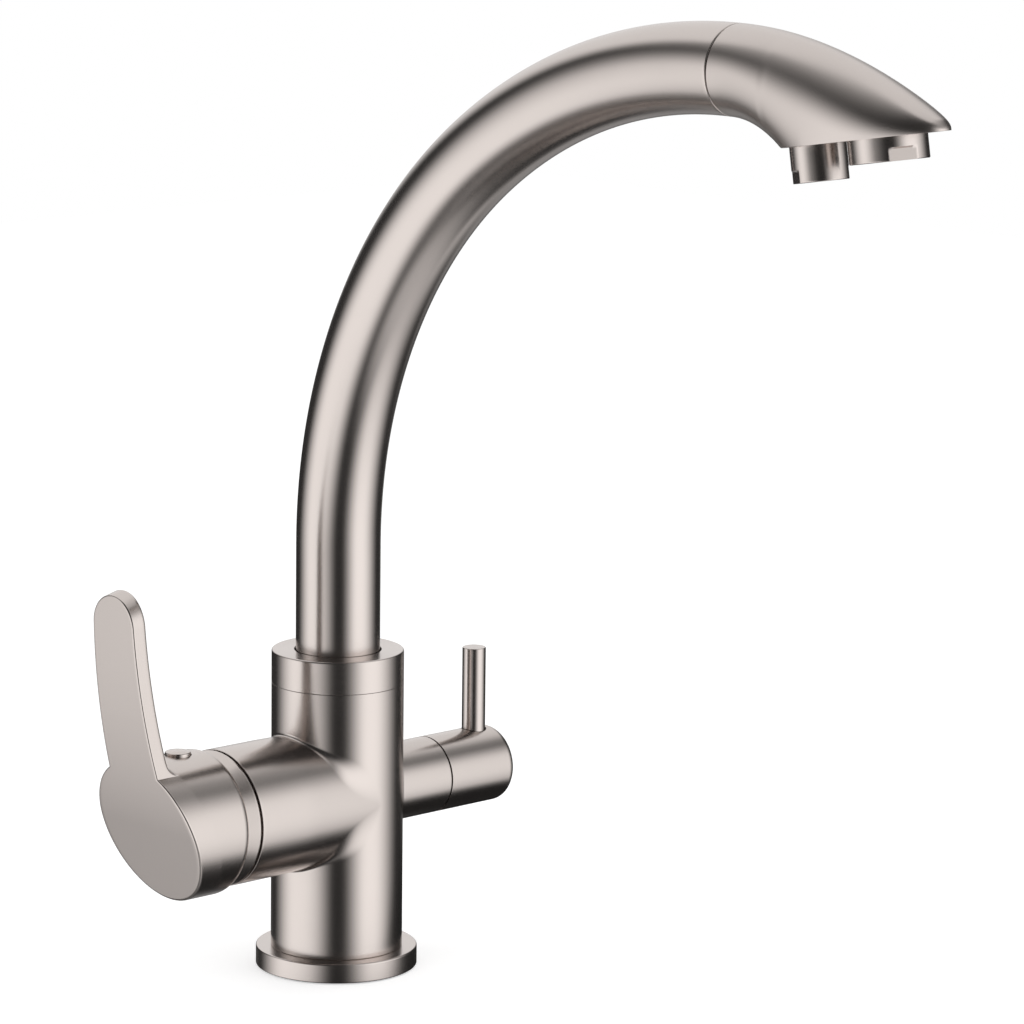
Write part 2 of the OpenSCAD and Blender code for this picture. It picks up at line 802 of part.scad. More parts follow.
// Side view of the lever's face, in [distance along -Y, height above the hub's axis]:
// a straight lean up to the turn, then a large arc that stands upright near the tip.
module behind_face(back) {
    polygon([[0, -hub_r - 5], [face_y - face_k * (hub_r + 5) - back, -hub_r - 5],
        [turn_y - back, face_turn], [0, face_turn]]);
    intersection() {
        translate([-arc_y, arc_z]) circle(r = face_r - back, $fn = 720);
        translate([0, face_turn - 0.01]) square([150, 120]);
    }
}

// Turns a side view drawn in [distance along -Y, height] into a slab across X.
module across_x(w) {
    translate([w / 2, 0, branch_z]) rotate([90, 0, -90]) linear_extrude(w) children();
}

module paddle_outline() {
    polygon([[-paddle_w0, 0], [paddle_w0, 0], [paddle_w0, hub_r - 4], [paddle_w1, paddle_tip],
        [-paddle_w1, paddle_tip], [-paddle_w0, hub_r - 4]]);
    translate([0, paddle_tip]) circle(r = paddle_w1);
}

module lever_outside() {
    intersection() {
        turned_mixer([[0, hub_back], [hub_r - hub_round, hub_back],
            for (a = [15:15:75]) [hub_r - hub_round * (1 - sin(a)), hub_back + hub_round * (1 - cos(a))],
            [hub_r, hub_back + hub_round], [hub_r, 100], [0, 100]]);
        across_x(2 * hub_r + 10) behind_face(0);
    }
    intersection() {
        translate([0, -60, branch_z]) rotate([90, 0, 0]) linear_extrude(60) paddle_outline();
        across_x(2 * hub_r) difference() {
            behind_face(0);
            behind_face(paddle_t);
        }
    }
}

module mixer_lever() {
    color(nickel) difference() {
        lever_outside();
        along_y(hub_cavity_r, -hub_floor, -hub_back + eps);
        translate([-stem_w / 2 - stem_gap, -stem_end - 0.2, branch_z - stem_w / 2 - stem_gap])
            cube([stem_w + 2 * stem_gap, stem_end - hub_back, stem_w + 2 * stem_gap]);
        upright(grub_r, branch_z, branch_z + hub_r, 0, -plug_y);
        upright(plug_d / 2, branch_z + plug_floor, branch_z + hub_r + eps, 0, -plug_y);
    }
}

// Hexagon socket grub screw along Z, its tip at z0.
module grub_screw(r, z0, len, up) {
    translate([0, 0, z0]) mirror([0, 0, up ? 0 : 1]) difference() {
        cylinder(r = r, h = len);
        translate([0, 0, len - 2.5]) cylinder(r = r * 0.55, h = 3, $fn = 6);
    }
}

module lever_grub_screw() {
    color(brass) translate([0, -plug_y, branch_z])
        grub_screw(grub_r - slip_gap, stem_w / 2, plug_floor - stem_w / 2 - 0.5, true);
}

module lever_plug() {
    color(nickel) translate([0, -plug_y, branch_z]) rotate_extrude() polygon([[0, plug_floor],
        [plug_d / 2 - slip_gap, plug_floor], [plug_d / 2 - slip_gap, hub_r + plug_proud - 0.5],
        [plug_d / 2 - 0.5, hub_r + plug_proud], [0, hub_r + plug_proud]]);
}

module valve_headwork() {
    color(brass) difference() {
        union() {
            along_y(insert_r, seal_end, chamber_y + eps);
            along_y(headwork_r - slip_gap, chamber_y, filter_rim);
            along_y(hex_r, filter_rim, hex_end, fn = 6);
        }
        along_y(valve_bore_r, valve_seat, chamber_y - 1);
        along_y(spindle_r + run_gap, chamber_y - 2, hex_end + eps);
        ring_y(headwork_r + eps, headwork_r - 2 * valve_cord_r - 3 * slip_gap,
            valve_groove_y - valve_groove_w / 2, valve_groove_y + valve_groove_w / 2);
        upright(window_r, branch_z, branch_z + chamber_r, 0, cross_y);
    }
}

module valve_o_ring() {
    color(rubber) cord_ring_y(headwork_r - valve_cord_r - 2 * slip_gap, valve_cord_r, valve_groove_y);
}

module valve_seat_seal() {
    color(rubber) ring_y(insert_r, seal_hole_r, valve_seat, seal_end);
}

module valve_fixed_disc() {
    color(ceramic) difference() {
        along_y(valve_bore_r - slip_gap, seal_end, fixed_end);
        for (z = [-1, 1])
            along_y(valve_way_r, seal_end - eps, fixed_end + eps, 0, branch_z + valve_way_x * z);
    }
}

module valve_moving_disc() {
    color(ceramic) difference() {
        along_y(valve_loose_r, fixed_end + valve_gap, moving_end);
        for (x = [-1, 1]) along_y(valve_way_r, fixed_end - eps, moving_end + eps, valve_way_x * x);
        upright(side_way_r, branch_z, branch_z + valve_bore_r, 0, side_way_y);
    }
}

module valve_spindle() {
    color(brass) difference() {
        union() {
            along_y(spindle_r, moving_end, spindle_end);
            along_y(valve_loose_r, moving_end, driver_end);
        }
        for (x = [-1, 1]) along_y(valve_way_r, moving_end - eps, driver_way, valve_way_x * x);
        along_x(valve_way_r, -valve_bore_r, valve_bore_r, cross_y, branch_z);
        ring_y(spindle_r + eps, spindle_r - 2 * spindle_cord_r - valve_gap,
            spindle_groove_y - spindle_groove_w / 2, spindle_groove_y + spindle_groove_w / 2);
        ring_y(spindle_r + eps, spindle_r - clip_depth, hex_end + 2 * slip_gap,
            hex_end + clip_h + 6 * slip_gap);
    }
}

module spindle_o_ring() {
    color(rubber) cord_ring_y(spindle_r - spindle_cord_r, spindle_cord_r, spindle_groove_y);
}

module spindle_clip() {
    color(nickel) difference() {
        ring_y(spindle_r + clip_reach, spindle_r - clip_depth, hex_end + 4 * slip_gap,
            hex_end + clip_h + 4 * slip_gap);
        translate([-clip_mouth / 2, hex_end - eps, branch_z - 2 * spindle_r])
            cube([clip_mouth, clip_h + 3 * eps, 2 * spindle_r]);
    }
}

module filter_handle() {
    color(nickel) difference() {
        turned_filter([[0, handle_y0], [filter_r, handle_y0], [filter_r, handle_y1 - handle_round],
            for (a = [15:15:75])
                [filter_r - handle_round * (1 - cos(a)), handle_y1 - handle_round * (1 - sin(a))],
            [filter_r - handle_round, handle_y1], [0, handle_y1]]);
        along_y(handle_cavity_r, handle_y0 - eps, handle_floor);
        along_y(spindle_r + slip_gap, handle_floor - eps, spindle_end + 0.3);
        upright(rod_d / 2 + 0.4, branch_z + filter_r - rod_pit, branch_z + filter_r + eps, 0, rod_y);
        upright(rod_thread_r, branch_z + 2.5, branch_z + filter_r, 0, rod_y);
        upright(handle_grub_r, branch_z - filter_r - eps, branch_z, 0, handle_grub_y);
    }
}

module handle_rod() {
    color(nickel) translate([0, rod_y, 0]) rotate_extrude() polygon([[0, branch_z + 3],
        [rod_thread_r - slip_gap, branch_z + 3], [rod_thread_r - slip_gap, branch_z + filter_r - rod_pit],
        [rod_d / 2, branch_z + filter_r - rod_pit], [rod_d / 2, rod_top - 0.3], [rod_d / 2 - 0.3, rod_top],
        [0, rod_top]]);
}

module handle_grub_screw() {
    color(brass) translate([0, handle_grub_y, branch_z])
        grub_screw(handle_grub_r - slip_gap, -spindle_r, 6, false);
}

base_flange();
base_gasket();
tap_body();
swivel_collar();
swivel_bush();
spout_spigot();
spigot_o_ring_low();
spigot_o_ring_high();
spout_tube();
filter_water_tube();
water_tube_o_ring();
spout_head();
head_o_ring();
filter_outlet_housing();
filter_outlet_insert();
filter_outlet_washer();
mixed_outlet_housing();
mixed_outlet_aerator();
mixed_outlet_washer();
cartridge_base();
cartridge_port_seals();
cartridge_fixed_disc();
cartridge_moving_disc();
cartridge_disc_carrier();
cartridge_body();
cartridge_rotor();
cartridge_nut();
cover_ring();
lever_stem();
stem_pin();
mixer_lever();
lever_grub_screw();
lever_plug();
valve_headwork();
valve_o_ring();
valve_seat_seal();
valve_fixed_disc();
valve_moving_disc();
valve_spindle();
spindle_o_ring();
spindle_clip();
filter_handle();
handle_rod();
handle_grub_screw();
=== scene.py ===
import bmesh
import bpy
import numpy as np
from mathutils import Matrix


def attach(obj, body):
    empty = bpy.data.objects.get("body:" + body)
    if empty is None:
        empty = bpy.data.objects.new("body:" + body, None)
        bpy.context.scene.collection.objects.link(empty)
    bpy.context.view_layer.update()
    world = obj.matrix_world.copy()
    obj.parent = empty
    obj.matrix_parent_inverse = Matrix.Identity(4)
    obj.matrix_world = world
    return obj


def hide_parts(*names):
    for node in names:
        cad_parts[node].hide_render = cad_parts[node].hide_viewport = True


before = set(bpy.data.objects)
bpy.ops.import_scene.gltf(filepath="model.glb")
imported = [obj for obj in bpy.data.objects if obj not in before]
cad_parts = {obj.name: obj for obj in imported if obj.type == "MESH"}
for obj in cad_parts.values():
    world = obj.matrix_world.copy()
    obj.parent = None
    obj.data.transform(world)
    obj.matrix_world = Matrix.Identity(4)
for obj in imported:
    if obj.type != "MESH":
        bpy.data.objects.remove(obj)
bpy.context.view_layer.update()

# Base flange: a wide thin nickel-plated brass ring, turned, with a fine rounded edge.
# The column's foot sits in it, and a rubber ring in its underside seals it to the worktop.
MM = 0.001
HOLD = 0.2
SEAM_A = np.radians(139)
WELD = 2e-6
CRISP = np.radians(38)
FLANGE_R = 27
FLANGE_TOP = 6.5
FLANGE_BORE = 19.05
GROOVE_R = (21, 24.5)
GROOVE_DEEP = 2


def rounded(corners, closed=True, steps=6):
    """Outline through corners (x, y, radius). Each corner is an arc that is tangent to both of its sides.

    With h half the angle at the corner, the arc starts radius / tan h along a side and its centre lies
    radius / sin h along the bisector. A point HOLD beyond each end keeps the shading of the side flat.
    """
    runs = []
    for i, (x, y, radius) in enumerate(corners):
        corner = np.array([x, y], float)
        if not closed and i in (0, len(corners) - 1):
            runs.append(corner[None])
            continue
        sides = np.array([corners[i - 1][:2], corners[(i + 1) % len(corners)][:2]]) - corner
        sides /= np.linalg.norm(sides, axis=1)[:, None]
        half = np.arccos(sides[0] @ sides[1]) / 2
        reach = radius / np.tan(half)
        bisector = sides.sum(0) / np.linalg.norm(sides.sum(0))
        middle = corner + bisector * radius / np.sin(half)
        spokes = corner + sides * reach - middle
        sweep = np.pi - 2 * half
        t = np.linspace(0, 1, steps + 1)[:, None]
        arc = middle + (np.sin((1 - t) * sweep) * spokes[0] + np.sin(t * sweep) * spokes[1]) / np.sin(sweep)
        ends = corner + sides * (reach + HOLD)
        runs += [ends[:1], arc, ends[1:]]
    return np.concatenate(runs)


def turned(outline, sides=192, start=SEAM_A):
    """Grid of an outline of (radius, height) turned about Z: (r cos a, r sin a, h).

    The angle a runs once round from start. By default that is behind the tap, so the brush map's seam is
    out of sight.
    """
    a = start + np.linspace(0, 2 * np.pi, sides, endpoint=False)
    r, h = outline[:, :1], outline[:, 1:]
    return np.dstack([r * np.cos(a), r * np.sin(a), h + 0 * a])


def patch(grid, across=False, around=True, windows=(), lengthwise=False):
    """Points and quads of a grid, and its brush map in mm: u runs square to the brush lines, v along them.

    The lines follow the rows, or the columns when lengthwise. across joins the last row to the first, and
    around the last column to the first. Each window of (row, row, column, column) is left open.
    """
    rows, cols = grid.shape[:2]
    i, j = np.mgrid[0:rows - 1 + across, 0:cols - 1 + around]
    kept = np.ones(i.shape, bool)
    for top, bottom, left, right in windows:
        kept[top:bottom, left:right] = False
    corners = [(i, j), (i, j + 1), (i + 1, j + 1), (i + 1, j)]
    quads = np.stack([(a % rows) * cols + b % cols for a, b in corners], -1)
    down = np.linalg.norm(np.diff(grid, axis=0, append=grid[:1]), axis=2).mean(1)
    along = np.linalg.norm(np.diff(grid, axis=1, append=grid[:, :1]), axis=2).mean(0)
    u = np.append(0, down.cumsum())
    v = np.append(0, along.cumsum())
    brush = np.stack([np.stack([u[a], v[b]], -1) for a, b in corners], -2)
    if lengthwise:
        brush = brush[..., ::-1]
    return grid.reshape(-1, 3), quads[kept], brush[kept]


def piece(name, patches, body, slot, material, *nodes):
    """One closed mesh from patches that share edges: joined, welded at the seams and faced outwards.

    Points less than WELD metres apart become one, and edges steeper than CRISP stay sharp.
    """
    points, quads, brush = zip(*patches)
    starts = np.cumsum([0] + [len(part) for part in points])
    faces = np.concatenate([part + start for part, start in zip(quads, starts)])
    mesh = bpy.data.meshes.new(name)
    mesh.from_pydata((np.concatenate(points) * MM).tolist(), [], faces.tolist())
    mesh.uv_layers.new(name="brush").data.foreach_set("uv", np.concatenate(brush).ravel())
    shape = bmesh.new()
    shape.from_mesh(mesh)
    bmesh.ops.remove_doubles(shape, verts=shape.verts, dist=WELD)
    bmesh.ops.dissolve_degenerate(shape, edges=shape.edges, dist=WELD / 20)
    bmesh.ops.recalc_face_normals(shape, faces=shape.faces)
    shape.to_mesh(mesh)
    shape.free()
    mesh.shade_smooth()
    mesh.set_sharp_from_angle(angle=CRISP)
    mesh.materials.append(material)
    made = bpy.data.objects.new(name, mesh)
    bpy.context.scene.collection.objects.link(made)
    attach(made, body)
    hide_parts(*nodes)


def srgb(code):
    """Linear RGBA of an sRGB hex colour: c / 12.92 if dark, else ((c + 0.055) / 1.055) ** 2.4."""
    c = np.array([int(code[i:i + 2], 16) for i in (1, 3, 5)]) / 255
    return (*np.where(c <= 0.04045, c / 12.92, ((c + 0.055) / 1.055) ** 2.4), 1)


def add(tree, kind, inputs, **settings):
    """Adds a node to a tree. An input is a plain value or the output socket of another node."""
    made = tree.nodes.new(kind)
    for key, value in settings.items():
        setattr(made, key, value)
    for key, value in inputs.items():
        if isinstance(value, bpy.types.NodeSocket):
            tree.links.new(value, made.inputs[key])
        else:
            made.inputs[key].default_value = value
    return made


def new_material(name):
    """An empty procedural material and its node tree."""
    made = bpy.data.materials.new(name)
    made.use_nodes = True
    made.node_tree.nodes.clear()
    return made, made.node_tree


def satin(name, roughness, spread, stretch, relief):
    """Nickel plate over brass, brushed with a fine abrasive along the piece's brush map.

    The real lines are about 0.05 mm apart and some millimetres long. They are drawn 0.35 mm apart, which is
    2.9 a mm, and 22 mm long, or they would not show at all. Clouds of 18 mm, 55 a metre, join them in the
    roughness, which strays by spread. stretch smears reflections across the lines, and relief is the depth
    of the lines in bump and tone.
    """
    made, tree = new_material(name)
    brush = add(tree, "ShaderNodeUVMap", {}, uv_map="brush")
    lines = add(tree, "ShaderNodeMapping", {"Vector": brush.outputs["UV"], "Scale": (2.9, 0.045, 1)})
    streaks = add(tree, "ShaderNodeTexNoise", {"Vector": lines.outputs["Vector"], "Scale": 1, "Detail": 3,
                                               "Roughness": 0.65}, noise_dimensions="2D")
    place = add(tree, "ShaderNodeTexCoord", {})
    clouds = add(tree, "ShaderNodeTexNoise", {"Vector": place.outputs["Object"], "Scale": 55, "Detail": 2})
    both = add(tree, "ShaderNodeMath", {0: streaks.outputs["Fac"], 1: clouds.outputs["Fac"]},
               operation="ADD")
    rough = add(tree, "ShaderNodeMapRange", {
        "Value": both.outputs["Value"], "From Min": 0.6, "From Max": 1.4,
        "To Min": roughness - spread, "To Max": roughness + spread})
    tone = add(tree, "ShaderNodeMapRange", {
        "Value": streaks.outputs["Fac"], "From Min": 0.25, "From Max": 0.75,
        "To Min": 1 - 0.8 * relief, "To Max": 1 + 0.8 * relief})
    colour = add(tree, "ShaderNodeHueSaturation", {
        "Color": srgb("#D4CBC6"), "Value": tone.outputs["Result"]})
    grain = add(tree, "ShaderNodeBump", {
        "Height": streaks.outputs["Fac"], "Strength": relief, "Distance": 0.0001})
    tangent = add(tree, "ShaderNodeTangent", {}, direction_type="UV_MAP", uv_map="brush")
    metal = add(tree, "ShaderNodeBsdfPrincipled", {
        "Base Color": colour.outputs["Color"], "Metallic": 1, "Roughness": rough.outputs["Result"],
        "Anisotropic": stretch, "Tangent": tangent.outputs["Tangent"], "Normal": grain.outputs["Normal"]})
    add(tree, "ShaderNodeOutputMaterial", {"Surface": metal.outputs["BSDF"]})
    return made


# Brushed satin nickel: a warm grey metal that shows the room as soft bands, drawn out across fine lines.
nickel = satin("satin_nickel_body", roughness=0.24, spread=0.02, stretch=0.45, relief=0.012)
flange_outline = rounded([
    (FLANGE_BORE, 0, 0.2), (GROOVE_R[0], 0, 0.2), (GROOVE_R[0], GROOVE_DEEP, 0.2),
    (GROOVE_R[1], GROOVE_DEEP, 0.2), (GROOVE_R[1], 0, 0.2), (FLANGE_R, 0, 0.3),
    (FLANGE_R, FLANGE_TOP, 0.5), (FLANGE_BORE, FLANGE_TOP, 0.2)])
piece("flange", [patch(turned(flange_outline), across=True)], "tap", "satin_nickel", nickel, "base_flange")


def plain(name, colour, depth, roughness, metallic, scale, bump):
    """A finish that varies a little: a noise of so many spots a metre drives colour, roughness and relief.

    The colour strays by depth of its value and the roughness by 0.05. A scale of 400 is a spot of 2.5 mm,
    and 900 one of 1.1 mm. The real grain is finer, but it would not show.
    """
    made, tree = new_material(name)
    place = add(tree, "ShaderNodeTexCoord", {})
    spots = add(tree, "ShaderNodeTexNoise", {
        "Vector": place.outputs["Object"], "Scale": scale, "Detail": 4})
    tone = add(tree, "ShaderNodeMapRange", {
        "Value": spots.outputs["Fac"], "From Min": 0.3, "From Max": 0.7,
        "To Min": 1 - depth, "To Max": 1 + depth})
    tint = add(tree, "ShaderNodeHueSaturation", {"Color": srgb(colour), "Value": tone.outputs["Result"]})
    rough = add(tree, "ShaderNodeMapRange", {
        "Value": spots.outputs["Fac"], "From Min": 0.3, "From Max": 0.7,
        "To Min": roughness - 0.05, "To Max": roughness + 0.05})
    relief = add(tree, "ShaderNodeBump", {
        "Height": spots.outputs["Fac"], "Strength": bump, "Distance": 0.0002})
    surface = add(tree, "ShaderNodeBsdfPrincipled", {
        "Base Color": tint.outputs["Color"], "Metallic": metallic, "Roughness": rough.outputs["Result"],
        "Normal": relief.outputs["Normal"]})
    add(tree, "ShaderNodeOutputMaterial", {"Surface": surface.outputs["BSDF"]})
    return made


def dress(material, *names):
    """Gives frame nodes that stay in view their finish."""
    for name in names:
        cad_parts[name].data.materials.clear()
        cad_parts[name].data.materials.append(material)


# Moulded sealing rubber: nearly black and matt with a fine grain, so that a seal reads as a dark line.
rubber = plain("moulded_black_rubber", "#1B1B1C", depth=0.15, roughness=0.62, metallic=0,
               scale=900, bump=0.25)
dress(rubber, "base_gasket")

# Column with its two branches: one brass casting, turned, ground and nickel-plated. The mixer branch is as
# wide as the column, so the two cylinders meet in crossing curves, and the filter branch is thinner. Both
# join in a small cast fillet. Bores in it hold the cartridge, the filter valve and the spout's foot.
COLUMN_R = 22
COLUMN_TOP = 96.5
FOOT_Z = 1
AXIS_Z = 58.2
MIXER_R = 22.6
MIXER_WIDE_AT = 30
MIXER_RIM = 51.3
CAST_BALL = 1.2
FLANK_BALL = 40
FILTER_R = 13
FILTER_RIM = 40
FILTER_BALL = 1.2
ROUND = 256


def mixer_radius(y):
    """Radius of the mixer branch: it grows in proportion from the column's axis, up to MIXER_WIDE_AT."""
    return COLUMN_R + (MIXER_R - COLUMN_R) * np.minimum(1, np.abs(y) / MIXER_WIDE_AT)


def arc_between(a, b, t):
    """Unit vectors on the great arc from a to b: (sin((1 - t) w) a + sin(t w) b) / sin w, w their angle."""
    w = np.arccos(np.clip((a * b).sum(-1, keepdims=True), -1, 1))
    safe = np.where(w < 1e-6, 1, w)
    mixed = (np.sin((1 - t) * safe) * a + np.sin(t * safe) * b) / np.sin(safe)
    return np.where(w < 1e-6, a, mixed)


def fillet(x, y, z, branch_r, ball, steps):
    """Rows of a fillet from column to branch: the centre of a ball that touches both, less its radius.

    The centre (x, y, z over the branch axis) is one ball radius off the column and off the branch, and the
    radius swings from the one contact to the other.
    """
    to_column = np.stack([x, y, 0 * x], -1) / (COLUMN_R + ball)[:, None]
    to_branch = np.stack([x, 0 * x, z], -1) / (branch_r + ball)[:, None]
    t = np.linspace(0, 1, steps + 1)[:, None, None]
    spoke = arc_between(to_column[None], to_branch[None], t)
    return np.stack([x, y, AXIS_Z + z], -1) - ball[:, None] * spoke


def branch_grid(rows, radii, spokes, wall_y, mouth):
    """A branch after its fillet's rows: its wall (r cos a, y, axis + r sin a), then its turned mouth."""
    r = np.vstack([radii, np.repeat(mouth[:, :1], len(spokes), 1)])
    y = np.vstack([wall_y, np.repeat(mouth[:, 1:], len(spokes), 1)])
    return np.concatenate([rows, np.dstack([r * np.cos(spokes), y, AXIS_Z + r * np.sin(spokes)])])


# Mixer side: the ball is small above and below the branch and grows towards its flanks, where both
# cylinders run into each other, so that the casting flows there without an edge.
even = np.linspace(0, 2 * np.pi, ROUND, endpoint=False)
mixer_ball = CAST_BALL + FLANK_BALL * (1 - np.abs(np.sin(even))) ** 2.2
ball_x = (COLUMN_R + mixer_ball) * np.cos(even)
ball_y = -(COLUMN_R + mixer_ball) * np.abs(np.sin(even))
ball_off = np.sqrt(np.maximum(0, (mixer_radius(ball_y) + mixer_ball) ** 2 - ball_x ** 2))
ball_z = ball_off * np.sign(np.sin(even))
ball_z[[0, ROUND // 2]] = 0
mixer_fillet = fillet(ball_x, ball_y, ball_z, mixer_radius(ball_y), mixer_ball, 20)
mixer_spokes = np.arctan2(mixer_fillet[-1, :, 2] - AXIS_Z, mixer_fillet[-1, :, 0])
mixer_run = np.concatenate([[0.006], np.linspace(0.06, 1, 14)])[:, None]
mixer_y = ball_y + (1 - MIXER_RIM - ball_y) * mixer_run
mixer_mouth = rounded([
    (MIXER_R, 2 - MIXER_RIM, 0), (MIXER_R, -MIXER_RIM, 0.15), (19.5, -MIXER_RIM, 0.2), (19.5, -42.5, 0.2),
    (17.75, -42.5, 0.2), (17.75, -20.5, 0.2), (0, -20.5, 0)], closed=False)[2:]
mixer_grid = branch_grid(mixer_fillet, mixer_radius(mixer_y), mixer_spokes, mixer_y, mixer_mouth)

# Filter side: the same ball rule with one small ball and a thinner branch.
filter_spokes = np.linspace(0, 2 * np.pi, ROUND // 2, endpoint=False)
filter_ball = np.full(ROUND // 2, FILTER_BALL)
rim_x = (FILTER_R + FILTER_BALL) * np.cos(filter_spokes)
rim_y = np.sqrt((COLUMN_R + FILTER_BALL) ** 2 - rim_x ** 2)
rim_z = (FILTER_R + FILTER_BALL) * np.sin(filter_spokes)
filter_fillet = fillet(rim_x, rim_y, rim_z, np.full(ROUND // 2, FILTER_R), filter_ball, 6)
filter_run = np.concatenate([[0.01], np.linspace(0.1, 1, 8)])[:, None]
filter_y = rim_y + (FILTER_RIM - 0.6 - rim_y) * filter_run
filter_mouth = rounded([
    (FILTER_R, 30, 0), (FILTER_R, FILTER_RIM, 0.08), (9.5, FILTER_RIM, 0.2), (9.5, 30, 0.2), (8, 30, 0.2),
    (8, 19, 0.2), (0, 19, 0)], closed=False)[2:]
filter_radii = np.full(filter_y.shape, FILTER_R, float)
filter_grid = branch_grid(filter_fillet, filter_radii, filter_spokes, filter_y, filter_mouth)

# Column above and below the crossing: both halves start at the fillets' edges, or on the branch axis beside
# the filter branch, and run to the top and to the foot. Down to the foot the columns spread out evenly.
filter_edge = filter_fillet[0]
beside = np.linspace(0, np.arctan2(filter_edge[0, 1], filter_edge[0, 0]), ROUND // 8, endpoint=False)


def column_edge(up):
    """Angle and height of the edge round the column where the branches start, seen from above or below."""
    over = np.arange(ROUND // 4 + 1) if up else -np.arange(ROUND // 4 + 1) % (ROUND // 2)
    ring = filter_edge[over]
    ring_angle = np.arctan2(ring[:, 1], ring[:, 0])
    mixer_half = mixer_fillet[0, (np.arange(ROUND // 2, 0, -1) if up else np.arange(ROUND // 2, ROUND))]
    angle = np.concatenate([beside, ring_angle, np.pi - beside[:0:-1], even[ROUND // 2:]])
    height = np.concatenate([0 * beside + AXIS_Z, ring[:, 2], 0 * beside[1:] + AXIS_Z, mixer_half[:, 2]])
    return angle, height


def column_rows(up, end, outline):
    """Rows on the column from that edge to a height, edge + t (end - edge), then a turned outline's."""
    angle, height = column_edge(up)
    t = np.concatenate([[0, 0.004], np.linspace(0.04, 1, 14)])[:, None]
    turn = angle + (even - angle) * (0 if up else 1) * t
    wall = np.dstack([COLUMN_R * np.cos(turn), COLUMN_R * np.sin(turn), height + (end - height) * t])
    rest = np.dstack([outline[:, :1] * np.cos(turn[-1]), outline[:, :1] * np.sin(turn[-1]),
                      np.repeat(outline[:, 1:], ROUND, 1)])
    return np.concatenate([wall, rest])


def pocket(grid, window, middle, radius, height, floor):
    """Round upright hole in a grid's window: rings from the window's edge to the hole, its wall and floor.

    A ring is (1 - t) edge + t hole in plan, laid back on the surface z = height(x, y).
    """
    block = grid[window[0]:window[1] + 1, window[2]:window[3] + 1, :2]
    edge = np.concatenate([block[0, :-1], block[:-1, -1], block[-1, :0:-1], block[:0:-1, 0]])
    out = edge - middle
    hole = middle + radius * out / np.linalg.norm(out, axis=1)[:, None]
    t = np.linspace(0, 1, 6)[:, None, None]
    plan = (1 - t) * edge + t * hole
    rings = np.dstack([plan, height(plan[..., 0], plan[..., 1])])
    foot = np.column_stack([hole, np.full(len(hole), float(floor))])
    centre = np.column_stack([0 * hole + middle, foot[:, 2]])
    return patch(np.concatenate([rings, foot[None], centre[None]]))


neck = rounded([
    (COLUMN_R, 90, 0), (COLUMN_R, COLUMN_TOP, 0.08), (18.8, COLUMN_TOP, 0.2), (18.8, 103.5, 0.3),
    (15.9, 103.5, 0.3), (15.9, 85.3, 0.2), (12, 85.3, 0.2), (12, 72, 0.2), (0, 72, 0)], closed=False)[1:]
foot_step = rounded([
    (COLUMN_R, 20, 0), (COLUMN_R, FLANGE_TOP, 0.25), (19, FLANGE_TOP, 0.2), (19, FOOT_Z, 0.2),
    (0, FOOT_Z, 0)], closed=False)[1:-1]
foot_rings = np.array([18.5, 18, 12.5, 7.3, 4, 0])
foot_face = np.column_stack([foot_rings, np.full(len(foot_rings), FOOT_Z)])
upper = column_rows(True, COLUMN_TOP - 0.6, neck)
lower = column_rows(False, FLANGE_TOP + 0.8, np.vstack([foot_step, foot_face]))
# Three threaded hose holes and the stud's hole: (x, y, radius, top). Each window spans two of the foot's
# rings and 18 columns to each side.
hose_holes = [(8.5, 9.5, 4.5, 14), (-8.5, 9.5, 3.4, 22), (-8.5, -9.5, 4.5, 14), (8.5, -9.5, 4.5, 14)]
foot_windows = []
foot_holes = []
for hole_x, hole_y, hole_r, hole_top in hose_holes:
    at = round(np.arctan2(hole_y, hole_x) / (2 * np.pi) * ROUND) % ROUND
    foot_windows.append((len(lower) - 5, len(lower) - 3, at - 18, at + 18))
    foot_holes.append(pocket(lower, foot_windows[-1], np.array([hole_x, hole_y]), hole_r,
                             lambda x, y: 0 * x + FOOT_Z, hole_top))
piece("body", [patch(upper), patch(lower, windows=foot_windows), patch(mixer_grid), patch(filter_grid),
               *foot_holes], "tap", "satin_nickel", nickel, "tap_body")

# Swivel collar: a turned nickel ring screwed on the column's neck. It keeps the spout's foot in the column,
# and a fine seam shows between it and the column.
COLLAR_TOP = 107.5
COLLAR_BORE = 14.5
collar_outline = rounded([
    (18.85, 96.6, 0.1), (COLUMN_R, 96.6, 0.08), (COLUMN_R, COLLAR_TOP, 0.55),
    (COLLAR_BORE, COLLAR_TOP, 0.12), (COLLAR_BORE, 103.5, 0.1), (18.85, 103.5, 0.1)], steps=5)
collar_grid = turned(collar_outline)
piece("collar", [patch(collar_grid, across=True)], "tap", "satin_nickel", nickel, "swivel_collar")
# Moulded acetal: pale grey with a dull sheen, plainly no metal.
plastic = plain("moulded_grey_plastic", "#A9ACAE", depth=0.05, roughness=0.42, metallic=0,
                scale=400, bump=0.05)
dress(plastic, "swivel_bush")

# Spout tube: 28 mm brass tube drawn on a bender in two radii, brushed round and plated. Its foot is
# soldered on a brass spigot with two rubber rings, which turns in the column.
TUBE_R = 14
TUBE_BORE = 12.6
TUBE_FOOT = 87.5
BEND_Z = 143.2
BEND_R = (167.3, 184.4)
BEND_A = np.radians(54.2)
END_RUN = 2
SEAM_GAP = 0.6
MID_X = BEND_R[0] * (1 - np.cos(BEND_A))
MID_Z = BEND_Z + BEND_R[0] * np.sin(BEND_A)
END_X = MID_X + BEND_R[1] * np.cos(BEND_A)
SPOUT_Z = MID_Z + BEND_R[1] * (1 - np.sin(BEND_A))
SEAM_X = END_X + END_RUN


